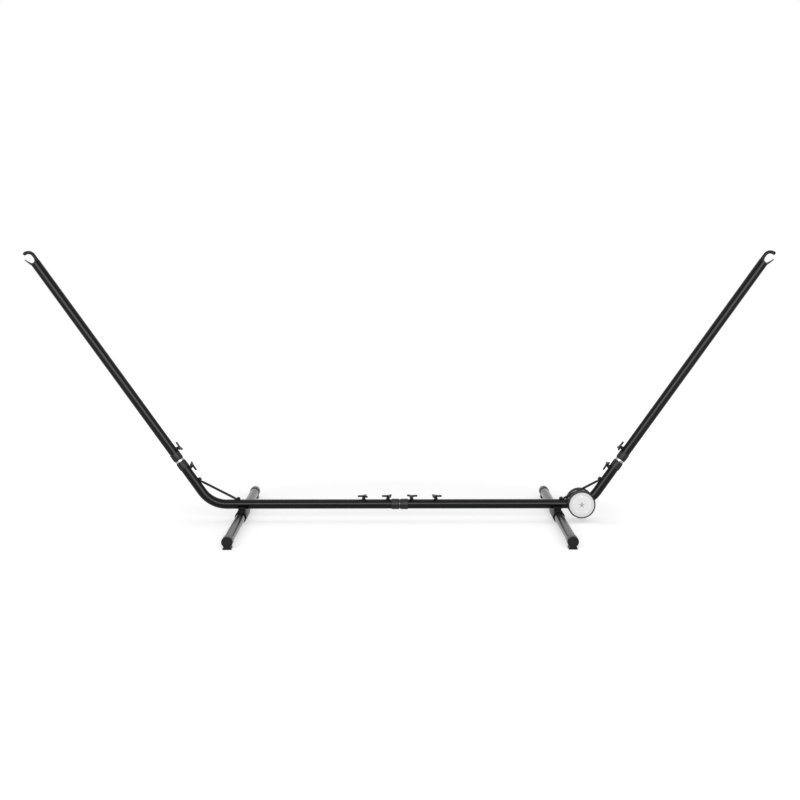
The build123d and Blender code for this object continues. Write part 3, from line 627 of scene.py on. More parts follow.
FINISHES = {
    "black_powder_coat": Finish("black_satin_powder_coat", 0.002, (0.15, 0.2), ior=1.25, worn=0.03,
                                relief_scale=520.0, relief_depth=0.000018, swell=0.9, chips=0.25,
                                film=0.02, specks=0.25),
    "zinc_plated_steel": Finish("bright_zinc_plate", 0.34, (0.3, 0.4), metallic=1.0, worn=0.6,
                                ior=1.5, relief_scale=300.0, relief_depth=0.000004,
                                variation=0.05, film=0.0, specks=0.0, scuffs=0.12,
                                scuff_depth=0.000006),
    "black_zinc_steel": Finish("black_zinc_plate", 0.035, (0.3, 0.42), metallic=0.6, worn=0.2,
                               relief_depth=0.000006, edge_wear=0.7, film=0.04),
    "axle_steel": Finish("drawn_axle_steel", 0.5, (0.24, 0.36), metallic=1.0, worn=0.6,
                         relief_depth=0.000004, scuffs=0.1, scuff_depth=0.000006, film=0.05),
    "collar_plastic": Finish("matt_collar_nylon", 0.006, (0.36, 0.46), worn=0.04, ior=1.32,
                             relief_scale=1300.0, relief_depth=0.000022, edge_wear=0.6, film=0.03),
    "knob_plastic": Finish("grained_knob_nylon", 0.004, (0.3, 0.4), worn=0.03, ior=1.33,
                           relief_scale=1500.0, relief_depth=0.00002, edge_wear=0.6, film=0.04),
    "saddle_plastic": Finish("saddle_nylon", 0.002, (0.28, 0.36), worn=0.02, ior=1.16,
                             relief_scale=1200.0, relief_depth=0.000018, film=0.03),
    "cap_plastic": Finish("foot_cap_plastic", 0.006, (0.22, 0.3), worn=0.04, ior=1.28,
                          relief_scale=1100.0, relief_depth=0.00002, film=0.02),
    "tyre_rubber": Finish("tyre_rubber", 0.009, (0.5, 0.62), worn=0.04, ior=1.36,
                          relief_scale=1000.0, relief_depth=0.00003, edge_wear=0.5, film=0.04),
    "hub_plastic": Finish("hub_moulding", 0.72, (0.4, 0.5), worn=0.6, second=0.3, ior=1.46,
                          relief_scale=1100.0, relief_depth=0.000012, variation=0.03,
                          edge_wear=0.15, film=0.03, dust_tone=0.4),
    # The disc's pale colour is a painted highlight for its buttons; its second colour darkens the
    # star and paints shade in the groove.
    "disc_plastic": Finish("cover_disc_moulding", 0.785, (0.38, 0.48), worn=0.6, second=0.34,
                           pale=0.93, ior=1.46, relief_scale=1200.0, relief_depth=0.00001,
                           variation=0.025, edge_wear=0.12, film=0.02, dust_tone=0.4),
}


# ------------------------------------------------------------------ the frame
class Anchors:
    """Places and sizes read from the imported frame, on the right half of the stand."""

    def __init__(self, slope: float) -> None:
        """Args: slope: how steep the arms rise, in degrees."""
        self.cos, self.sin = math.cos(math.radians(slope)), math.sin(math.radians(slope))
        arm_low, arm_high = self.box("right_arm_tube")
        self.tube = (arm_high[1] - arm_low[1]) / 2
        self.beam_z = self.middle("centre_connector")[2]
        arm = (arm_low + arm_high) / 2
        self.apex_x = arm[0] - (arm[2] - self.beam_z) * self.cos / self.sin
        station = (arm[2] - self.beam_z) / self.sin
        length = (arm_high[0] - arm_low[0] - 2 * self.tube * self.sin) / self.cos
        self.arm_start, self.arm_tube_end = station - length / 2, station + length / 2
        base_low, base_high = self.box("right_base_tube")
        self.beam_start = base_low[0]
        self.stub_end = (base_high[2] - self.beam_z - self.tube * self.cos) / self.sin
        self.foot = self.middle("right_foot_tube")
        self.axle = self.middle("wheel_axle")

    @staticmethod
    def box(node: str) -> tuple[np.ndarray, np.ndarray]:
        """Lowest and highest corner of a node."""
        low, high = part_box(node)
        return np.array(low), np.array(high)

    def middle(self, node: str) -> np.ndarray:
        """Middle of a node's box."""
        low, high = self.box(node)
        return (low + high) / 2

    def size(self, node: str) -> np.ndarray:
        """Size of a node's box."""
        low, high = self.box(node)
        return high - low

    @property
    def beam(self) -> Place:
        """The beam's axis: x is its upper side and z runs outwards."""
        return Place(np.array([0.0, 0.0, self.beam_z]), np.array([0.0, 0.0, 1.0]), DOWN,
                     np.array([1.0, 0.0, 0.0]))

    @property
    def arm(self) -> Place:
        """The arm's axis from the apex: x is its upper side and z runs up the arm."""
        return Place(np.array([self.apex_x, 0.0, self.beam_z]),
                     np.array([-self.sin, 0.0, self.cos]), DOWN,
                     np.array([self.cos, 0.0, self.sin]))

    @staticmethod
    def on_top(tube: Place, station: float) -> Place:
        """Place on a tube's axis with z out of its upper side and x along it."""
        return Place(tube.moved(station).origin, tube.z, -tube.y, tube.x)

    def across(self, point: np.ndarray) -> Place:
        """Place whose z runs to the front, with x kept and y up."""
        origin = np.array([point[0], 0.0, point[2]])
        return Place(origin, np.array([1.0, 0.0, 0.0]), np.array([0.0, 0.0, 1.0]), DOWN)


class Dresser:
    """Puts finished pieces on the frame."""

    def __init__(self, frame: dict[str, Any]) -> None:
        record = frame["record"]
        self.nodes = frame["nodes"]
        self.body_of = {node: body for body, nodes in record["behaviour"]["bodies"].items()
                        for node in nodes}
        self.slot_of = {part["node"]: part["material_slot"] for part in record["subparts"]}
        effects = Effects()
        self.materials = {slot: finish.make(effects) for slot, finish in FINISHES.items()}

    def dress(self, shape: Skin | bpy.types.Object, name: str, node: str,
              stands_in: bool = True) -> bpy.types.Object:
        """Finishes one piece and lets it ride on its node's body.

        Args:
            shape: the piece, or the skin to make it from.
            name: the piece's name.
            node: the node that the piece stands for, or is fixed to.
            stands_in: whether the node is hidden behind the piece.

        Returns:
            The piece.
        """
        piece = shape.build(name) if isinstance(shape, Skin) else shape
        slot = self.slot_of[node]
        piece.data.materials.clear()
        piece.data.materials.append(self.materials[slot])
        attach(piece, self.body_of[node])
        if stands_in:
            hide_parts(node)
            low, high = Anchors.box(node)
            spots = np.array([vertex.co for vertex in piece.data.vertices])
            slack = max(np.abs(spots.min(0) - low).max(), np.abs(spots.max(0) - high).max())
            LOG.info("%s on %s: %d faces, %.2f mm off its node's box", name, self.body_of[node],
                     len(piece.data.polygons), slack / MM)
        else:
            LOG.info("%s on %s: %d faces", name, self.body_of[node], len(piece.data.polygons))
        return piece

    def finish_node(self, node: str) -> None:
        """Gives a node that keeps its own shape the finish of its slot."""
        slots = self.nodes[node].material_slots
        for slot in slots:
            slot.link = "OBJECT"
            slot.material = self.materials[self.slot_of[node]]
        LOG.info("%s keeps its shape: %d slot(s) finished", node, len(slots))


# ------------------------------------------------------------------ tubes and joints
@dataclass
class BaseTube:
    """Half of the base: beam, bend and stub in one bent tube."""

    anchors: Anchors
    side: Side
    wall: float = TUBE_WALL
    bend_radius: float = BEND_RADIUS
    slope: float = ARM_SLOPE
    flattening: float = 0.012
    around: int = 96

    def path(self) -> tuple[np.ndarray, np.ndarray]:
        """Axis of the tube and how far each place lies inside the bend.

        The straight runs carry a few places each. The bend is an arc of bend_radius about a
        point above the end of the beam.

        Returns:
            Points (x, z) and a mark from 0 to 1 in the middle of the bend.
        """
        a = self.anchors
        tangent = self.bend_radius * math.tan(math.radians(self.slope / 2))
        beam_end = a.apex_x - tangent
        angle = np.linspace(0.0, math.radians(self.slope), 41)
        arc = np.stack([beam_end + self.bend_radius * np.sin(angle),
                        a.beam_z + self.bend_radius * (1.0 - np.cos(angle))], -1)
        beam = np.stack([np.linspace(a.beam_start, beam_end, 30)[:-1], np.full(29, a.beam_z)], -1)
        run = np.linspace(tangent, a.stub_end, 10)[1:]
        stub = np.stack([a.apex_x + run * a.cos, a.beam_z + run * a.sin], -1)
        bent = np.concatenate([np.zeros(29), np.sin(math.pi * np.linspace(0, 1, 41)) ** 0.5,
                               np.zeros(9)])
        return np.concatenate([beam, arc, stub]), bent

    def make(self, dresser: Dresser) -> None:
        """Outer and inner wall, a little flattened in the bend as a bent tube is."""
        path, bent = self.path()
        outer = np.full(len(path), self.anchors.tube)
        inner = outer - self.wall
        flat, wide = 1.0 - self.flattening * bent, 1.0 + 0.4 * self.flattening * bent
        shell = drawn(path, outer * flat, outer * wide, ROUND, self.around)
        bore = drawn(path, inner * flat, inner * wide, ROUND, self.around)
        skin = Skin(self.side).add(np.concatenate([shell, bore[::-1]]), loop=True)
        dresser.dress(skin, f"{self.side.word}_bent_base_tube", f"{self.side.word}_base_tube")


@dataclass
class Joint:
    """Collars, plug-in tube and stop ring of the telescopic joints on one side."""

    anchors: Anchors
    side: Side
    lip: float = 6 * MM
    length: float = 34 * MM
    wall: float = 2.2 * MM
    nose: float = 8 * MM
    drop: float = 2.8 * MM
    tail: float = 1.2 * MM
    mould_groove: tuple[float, float, float, float] = (9.4 * MM, 9.7 * MM, 10.7 * MM, 11 * MM)
    groove_depth: float = 0.25 * MM
    ridge: tuple[float, float] = (0.12 * MM, 0.8 * MM)
    clearance: float = 0.35 * MM
    plug_wall: float = 2 * MM
    stop_ring: float = 19.3 * MM
    stop_gap: float = 0.3 * MM
    snug: float = SNUG
    around: int = 120

    def collar(self) -> tuple[np.ndarray, np.ndarray]:
        """Collar with its joint face at z = 0 and the tube towards +z, as a closed profile.

        The nose is an arc that leaves the side smoothly and reaches the joint face drop lower,
        so its radius is (nose^2 + drop^2) / (2 drop). A narrow band behind the nose is sunk
        where the two halves of the mould close, and the parting line on both flanks stands
        proud by height * exp(-(distance / width)^2).

        Returns:
            The rings of the collar and each ring's mark for wear.
        """
        tube, outer = self.anchors.tube, self.anchors.tube + self.wall
        sunk = outer - self.groove_depth
        bore = self.anchors.size("centre_connector")[1] / 2 + self.clearance
        radius = (self.nose ** 2 + self.drop ** 2) / (2 * self.drop)
        turn = np.linspace(math.asin(self.nose / radius), 0.0, 13)
        corners = [(bore, 0.0, 0.3 * MM), (outer - self.drop, 0.0, 0.3 * MM)]
        corners += [(outer - radius * (1 - math.cos(t)), self.nose - radius * math.sin(t), 0.0)
                    for t in turn[1:]]
        start, floor_start, floor_end, end = self.mould_groove
        corners += [(outer, start, 0.3 * MM), (sunk, floor_start, 0.2 * MM),
                    (sunk, floor_end, 0.2 * MM), (outer, end, 0.3 * MM),
                    (outer, self.length, self.tail), (tube + self.snug, self.length, 0.3 * MM),
                    (tube + self.snug, self.lip, 0.1 * MM), (bore, self.lip, 0.1 * MM)]
        outline = rounded(corners)
        rings = turned(outline.points, self.around)
        angle = bearings(self.around)
        flank = np.minimum(np.abs(angle - 0.25 * TURN), np.abs(angle - 0.75 * TURN)) * outer
        height, width = self.ridge
        line = height * np.exp(-(flank / width) ** 2)
        on_skin = (outline.points[:, 0] > tube + 1.2 * MM)[:, None]
        swell = 1.0 + on_skin * line[None, :] / outer
        return rings * np.stack([swell, swell, np.ones_like(swell)], -1), outline.edge

    def tube(self, radius: float, wall: float, start: float, end: float) -> Outline:
        """Profile of a plain tube with broken edges."""
        broken = min(0.4 * MM, 0.4 * wall)
        return rounded([(radius, start, broken), (radius, end, broken),
                        (radius - wall, end, broken), (radius - wall, start, broken)], steps=4)

    def make(self, dresser: Dresser) -> None:
        """The side's three collars, its arm connector and stop ring."""
        a, word = self.anchors, self.side.word
        collar, edge = self.collar()
        flip = collar * np.array([1.0, -1.0, -1.0])
        face = a.beam_start - self.lip
        stub_face, arm_face = a.stub_end + self.lip, a.arm_start - self.lip
        for name, rings in (("centre", a.beam.moved(face).put(collar)),
                            ("stub", a.arm.moved(stub_face).put(flip)),
                            ("arm", a.arm.moved(arm_face).put(collar))):
            skin = Skin(self.side).add(rings, loop=True, edge=edge)
            dresser.dress(skin, f"{word}_{name}_moulded_collar", f"{word}_{name}_collar")
        inner = a.size("centre_connector")[1] / 2
        node = f"{word}_arm_connector"
        middle = self.side.value * (a.middle(node)[0]) - a.apex_x
        half = (a.size(node)[0] - 2 * inner * a.sin) / a.cos / 2
        plug = self.tube(inner, self.plug_wall, middle / a.cos - half, middle / a.cos + half)
        skin = Skin(self.side).add(a.arm.put(turned(plug.points, 96)), loop=True, edge=plug.edge)
        dresser.dress(skin, f"{word}_plug_in_tube", node)
        ring = self.tube(self.stop_ring, self.stop_ring - self.snug - inner,
                         stub_face + self.stop_gap, arm_face - self.stop_gap)
        skin = Skin(self.side).add(a.arm.put(turned(ring.points, 96)), loop=True, edge=ring.edge)
        dresser.dress(skin, f"{word}_zinc_stop_ring", f"{word}_stop_ring")

    def make_centre(self, dresser: Dresser) -> None:
        """The plug-in tube between the two halves of the beam."""
        size = self.anchors.size("centre_connector")
        plug = self.tube(size[1] / 2, self.plug_wall, -size[0] / 2, size[0] / 2)
        rings = self.anchors.beam.put(turned(plug.points, 96))
        dresser.dress(Skin().add(rings, loop=True, edge=plug.edge), "beam_plug_in_tube",
                      "centre_connector")


# ------------------------------------------------------------------ clamp knobs
@dataclass
class ClampKnob:
    """One clamp: weld nut with its bead, threaded stud and three-armed head."""

    anchors: Anchors
    side: Side
    name: str
    turn: float
    nut_radius: float = 7.5 * MM
    nut_height: float = 4.5 * MM
    seat_gap: float = 0.5 * MM
    stud_radius: float = 4.0 * MM
    pitch: float = 1.25 * MM
    reach: float = 25 * MM
    height: float = 12.5 * MM
    thickness: float = 7.5 * MM
    round_over: float = 1.7 * MM

    @property
    def place(self) -> Place:
        """Place on the tube's axis under the knob, with z out of the tube."""
        middle = self.side.mirrored(self.anchors.middle(f"{self.side.word}_{self.name}_knob_stud"))
        tube = self.anchors.beam if self.name in ("inner", "outer") else self.anchors.arm
        return self.anchors.on_top(tube, float((middle - tube.origin) @ tube.z))

    def nut(self) -> Skin:
        """Round nut whose foot follows the tube: z is at least sqrt(R^2 - y^2)."""
        tube, top = self.anchors.tube, self.anchors.tube + self.nut_height
        bore = self.stud_radius + 0.05 * MM
        outline = rounded([(self.nut_radius, 0.6 * tube, 0.1 * MM),
                           (self.nut_radius, top, 0.8 * MM), (bore, top, 0.3 * MM),
                           (bore, 0.6 * tube, 0.1 * MM)])
        rings = turned(outline.points, 64)
        rings[..., 2] = np.maximum(rings[..., 2], np.sqrt(tube ** 2 - rings[..., 1] ** 2))
        return Skin(self.side).add(self.place.put(rings), loop=True, edge=outline.edge)

    def bead(self) -> Skin:
        """Weld bead round the nut's foot.

        A round section follows the line where the nut meets the tube, (r cos t, r sin t,
        sqrt(R^2 - (r sin t)^2)), and its radius swells and falls with each ripple.

        Returns:
            The bead's skin.
        """
        angle = np.linspace(0.0, TURN, 168, endpoint=False)[:, None]
        section = bearings(12)[None, :]
        radius = self.nut_radius + 0.2 * MM
        saw = np.mod(angle * 28 / TURN, 1.0)
        size = 1.15 * MM * (1.0 + 0.2 * np.sqrt(saw)) + 0.1 * MM * np.sin(3 * angle)
        out = radius + size * np.cos(section)
        lift = np.sqrt(self.anchors.tube ** 2 - (radius * np.sin(angle)) ** 2)
        rings = np.stack([out * np.cos(angle), out * np.sin(angle),
                          lift + size * np.sin(section)], -1)
        return Skin(self.side).add(self.place.put(rings), loop=True)

    def stud(self) -> Skin:
        """Threaded stud: the radius falls and rises with z / pitch - t / turn."""
        low = self.anchors.size("centre_connector")[1] / 2 + 0.3 * MM
        high = self.anchors.tube + self.nut_height + self.seat_gap + 9 * MM
        height = np.linspace(low, high, 116)[:, None]
        angle = bearings(36)[None, :]
        phase = np.mod(height / self.pitch - angle / TURN, 1.0)
        depth = 0.62 * MM * np.clip(2.2 * np.abs(phase - 0.5) - 0.05, 0.0, 1.0)
        radius = np.minimum(self.stud_radius - depth,
                            3.2 * MM + np.minimum(height - low, high - height))
        rings = np.stack([radius * np.cos(angle), radius * np.sin(angle),
                          np.broadcast_to(height, radius.shape)], -1)
        return Skin(self.side).add(self.place.put(rings))

    def head(self) -> Skin:
        """Knob head on its slim stem.

        Every ring keeps the bearing of the three-armed outline's points. Stem rings are
        circles, the underside goes from a circle to the outline by a straight mix, the rims
        are quarter rounds made by insets, and the top goes back to a circle with a dimple.

        Returns:
            The head's skin.
        """
        half = 3.9 * MM
        third = np.radians([0.0, 120.0, 240.0])
        arm = np.array([[self.reach, -half], [self.reach, half],
                        [6.6 * MM * math.cos(math.pi / 3), 6.6 * MM * math.sin(math.pi / 3)]])
        spin = np.stack([np.stack([np.cos(third), -np.sin(third)], -1),
                         np.stack([np.sin(third), np.cos(third)], -1)], 1)
        corners = np.einsum("kij,pj->kpi", spin, arm).reshape(-1, 2)
        radii = np.tile([half - 0.05 * MM, half - 0.05 * MM, 4.2 * MM], 3)
        star = rounded(np.column_stack([corners, radii]), steps=14)
        outline = even(star.points, 150, closed=True)
        spoke = unit(outline)
        base = self.anchors.tube + self.nut_height + self.seat_gap
        under, top = base + self.height - self.thickness, base + self.height
        r, bore = self.round_over, self.stud_radius + 0.05 * MM
        layers = Layers()
        layers.lay_circles(spoke, (
            (bore, base + 9.3 * MM), (bore, base + 0.4 * MM), (bore + 0.4 * MM, base),
            (6.9 * MM, base), (7.25 * MM, base + 0.35 * MM), (7.25 * MM, base + 1.1 * MM),
            (6.4 * MM, base + 1.9 * MM), (5.9 * MM, base + 2.5 * MM),
            (5.8 * MM, base + 3.4 * MM), (6.1 * MM, base + 4.2 * MM),
            (6.9 * MM, under - 0.3 * MM)))
        hub, rim = spoke * 7.3 * MM, inset(outline, r)
        for share in (0.2, 0.5, 0.8):
            layers.lay(hub + share * (rim - hub), under - 0.15 * MM * (1 - share))
        quarter = np.linspace(0.0, 0.5 * math.pi, 6)
        for angle in quarter:
            layers.lay(inset(outline, r * (1 - math.sin(angle))),
                       under + r * (1 - math.cos(angle)), 0.3)
        for angle in quarter:
            layers.lay(inset(outline, r * (1 - math.cos(angle))),
                       top - r * (1 - math.sin(angle)), math.sin(2 * angle))
        hub = spoke * 5.2 * MM
        for share in (0.25, 0.5, 0.75, 1.0):
            layers.lay(rim + share * (hub - rim), top)
        layers.lay_circles(spoke, ((4.8 * MM, top - 0.1 * MM), (4.5 * MM, top - 0.5 * MM),
                                   (2.2 * MM, top - 0.6 * MM), (0.4 * MM, top - 0.6 * MM)))
        stack = layers.stack()
        out = np.linalg.norm(stack[..., :2], axis=-1) / self.reach
        stack[..., 2] -= 0.5 * MM * np.maximum(out - 0.35, 0.0) ** 2 * (stack[..., 2] > under)
        return Skin(self.side).add(self.place.spun(self.turn).put(stack),
                                   edge=np.array(layers.marks))

    def make(self, dresser: Dresser) -> None:
        """Bead, stud and head; the nuts are gathered by side."""
        stem = f"{self.side.word}_{self.name}"
        tube = "arm_tube" if self.name == "arm" else "base_tube"
        dresser.dress(self.bead(), f"{stem}_nut_weld", f"{self.side.word}_{tube}", stands_in=False)
        dresser.dress(self.stud(), f"{stem}_threaded_stud", f"{stem}_knob_stud")
        dresser.dress(self.head(), f"{stem}_three_arm_knob", f"{stem}_knob_head")


@dataclass
class KnobSet:
    """The four clamps of one side."""

    anchors: Anchors
    side: Side

    def make(self, dresser: Dresser) -> None:
        """Every clamp, then the weld nuts of the base and of the arm as one piece each."""
        turns = {Side.LEFT: (4.0, -8.0, 176.0, 10.0), Side.RIGHT: (16.0, 2.0, 188.0, -6.0)}
        names = ("inner", "outer", "stub", "arm")
        knobs = {name: ClampKnob(self.anchors, self.side, name, turn)
                 for name, turn in zip(names, turns[self.side])}
        for knob in knobs.values():
            knob.make(dresser)
        word = self.side.word
        base = join([knobs[name].nut() for name in names[:3]])
        dresser.dress(base, f"{word}_base_weld_nuts", f"{word}_knob_nuts")
        dresser.dress(knobs["arm"].nut(), f"{word}_arm_weld_nut", f"{word}_arm_knob_nut")


def join(skins: Sequence[Skin]) -> Skin:
    """Several skins of one side as one."""
    whole = Skin(skins[0].side)
    for skin in skins:
        whole.faces += [[index + whole.count for index in face] for face in skin.faces]
        whole.points += skin.points
        whole.edges += skin.edges
        whole.tones += skin.tones
        whole.uvs += skin.uvs
        whole.count += skin.count
    return whole


# ------------------------------------------------------------------ arms and hooks
@dataclass
class Arm:
    """Arm tube with its end plug, tongue and hook."""

    anchors: Anchors
    side: Side
    wall: float = TUBE_WALL
    cap: float = 4 * MM
    rod: float = 6.92 * MM
    spigot: float = 5 * MM
    inset: float = 0.88 * MM
    rise: float = 28 * MM
    crook: float = 25.9 * MM
    sweep: float = 90.0
    ball: float = 7.5 * MM
    shank: float = 46 * MM
    throat: float = 11 * MM
    throat_floor: float = 4 * MM
    throat_turn: float = 25.7
    tongue_half: float = 7.5 * MM

    @property
    def top(self) -> Place:
        """Place on the arm's axis at its top face."""
        return self.anchors.arm.moved(self.anchors.arm_tube_end + self.cap)

    @property
    def rod_x(self) -> float:
        """How far the hook's rod lies from the arm's axis, towards the upper side."""
        return self.anchors.tube - self.inset - self.rod

    def tube(self) -> Skin:
        """Straight tube from the collar to the plug."""
        a = self.anchors
        station = np.linspace(a.arm_start, a.arm_tube_end, 40)
        radius = np.concatenate([np.full(40, a.tube), np.full(40, a.tube - self.wall)])
        profile = np.column_stack([radius, np.concatenate([station, station[::-1]])])
        return Skin(self.side).add(a.arm.put(turned(profile, 96)), loop=True)

    def hook(self) -> Skin:
        """Round rod on a slimmer spigot: straight, then an arc, then a ball at its tip.

        Along the last stretch the radius is sqrt(ball^2 - s^2), where s is measured from the
        ball's middle, so that the rod runs into the ball and the ball closes on itself.

        Returns:
            The hook's skin.
        """
        x = self.rod_x
        heights = np.concatenate([np.linspace(-self.shank, -1 * MM, 7),
                                  np.array([0.03, 0.07, 0.5]) * MM,
                                  np.linspace(3 * MM, self.rise, 8)[:-1]])
        straight = np.stack([np.full(len(heights), x), heights], -1)
        angle = np.radians(np.linspace(0.0, self.sweep, 44))
        arc = np.stack([x - self.crook + self.crook * np.cos(angle),
                        self.rise + self.crook * np.sin(angle)], -1)
        onward = np.array([-math.sin(angle[-1]), math.cos(angle[-1])])
        tip = self.ball * np.sin(np.linspace(0.04, 0.485, 12) * math.pi)
        path = np.concatenate([straight, arc, arc[-1] + tip[:, None] * onward])
        away = np.concatenate([[0.0], np.cumsum(np.linalg.norm(np.diff(path, axis=0), axis=1))])
        from_ball = away - away[len(straight) + len(arc) - 1]
        sphere = np.sqrt(np.maximum(self.ball ** 2 - from_ball ** 2, 0.0))
        radius = np.where(from_ball > 0.0, sphere, np.maximum(sphere, self.rod))
        radius[:8] = self.spigot
        radius[0], radius[8] = 0.9 * self.spigot, self.rod - 0.4 * MM
        rings = drawn(path, radius, radius, ROUND, 40)
        return Skin(self.side).add(self.top.put(rings))

    def plug(self) -> Skin:
        """Turned cap on the tube's end with its spigot inside."""
        tube = self.anchors.tube
        spigot = tube - self.wall - 0.05 * MM
        outline = rounded([(0.5 * MM, -30 * MM, 0.0), (spigot, -30 * MM, 0.6 * MM),
                           (spigot, -self.cap, 0.1 * MM), (tube, -self.cap, 0.3 * MM),
                           (tube, 0.0, 1.2 * MM), (0.5 * MM, 0.0, 0.0)], closed=False)
        return Skin(self.side).add(self.top.put(turned(outline.points, 96)), edge=outline.edge)

    def tongue(self) -> Skin:
        """Tapered, slightly hollow-backed finger and the round throat between it and the rod.

        The side view is one closed outline whose throat is an arc from the rod's inner side
        down and up again to the finger. It is stacked along y, and inset near both
        flanks by a quarter round, so that no edge is sharp.

        Returns:
            The tongue's skin.
        """
        tube, tip, high = self.anchors.tube, -self.anchors.tube - 9.5 * MM, 33.5 * MM
        root, brim = self.rod_x - self.rod / 2, self.throat_floor + self.throat
        middle = self.rod_x - self.rod - self.throat
        corners = [(-tube + 1 * MM, -2 * MM, 0.3 * MM), (root, -2 * MM, 0.3 * MM),
                   (root, brim, 0.3 * MM), (middle + self.throat, brim, 1.0 * MM)]
        corners += [(middle + self.throat * math.cos(t), brim + self.throat * math.sin(t), 0.0)
                    for t in np.radians(np.linspace(-12.0, self.throat_turn - 180.0, 21))]
        corners += [(-22.0 * MM, 21.2 * MM, 60 * MM), (tip + 2.7 * MM, high, 1.2 * MM),
                    (tip, high, 1.2 * MM), (-24.7 * MM, 15.3 * MM, 80 * MM)]
        outline = even(rounded(corners, steps=7).points, 190, closed=True)
        round_over, half = 1.2 * MM, self.tongue_half
        quarter = np.linspace(0.0, 0.5 * math.pi, 5)
        rings = [(-half + round_over * (1 - math.sin(q)), round_over * (1 - math.cos(q)))
                 for q in quarter[::-1]]
        rings += [(-y, depth) for y, depth in rings[::-1]]
        stack = np.stack([inset(outline, depth) for _, depth in rings])
        sideways = np.broadcast_to(np.array([y for y, _ in rings])[:, None], stack.shape[:2])
        stack = np.stack([stack[..., 0], sideways, stack[..., 1]], -1)
        return Skin(self.side).add(self.top.put(stack), edge=np.full(len(stack), 0.35))

    def weld(self) -> Skin:
        """Rippled bead where the rod leaves the cap, thinner where the rod is near its edge."""
        angle = np.linspace(0.0, TURN, 132, endpoint=False)[:, None]
        section = bearings(12)[None, :]
        size = 1.2 * MM * (1.0 + 0.2 * np.sqrt(np.mod(angle * 22 / TURN, 1.0)))
        out = self.rod + 0.2 * MM + size * np.cos(section)
        across = np.minimum(self.rod_x + out * np.cos(angle), self.anchors.tube - 0.15 * MM)
        rings = np.stack([across, out * np.sin(angle), size * np.sin(section)], -1)
        return Skin(self.side).add(self.top.put(rings), loop=True)

    def make(self, dresser: Dresser) -> None:
        """Tube, plug with tongue, hook and weld."""
        word = self.side.word
        dresser.dress(self.tube(), f"{word}_straight_arm_tube", f"{word}_arm_tube")
        dresser.dress(join([self.plug(), self.tongue()]), f"{word}_plug_and_tongue",
                      f"{word}_end_plug")
        dresser.dress(self.hook(), f"{word}_formed_hook", f"{word}_hook")
        dresser.dress(self.weld(), f"{word}_hook_weld", f"{word}_hook", stands_in=False)


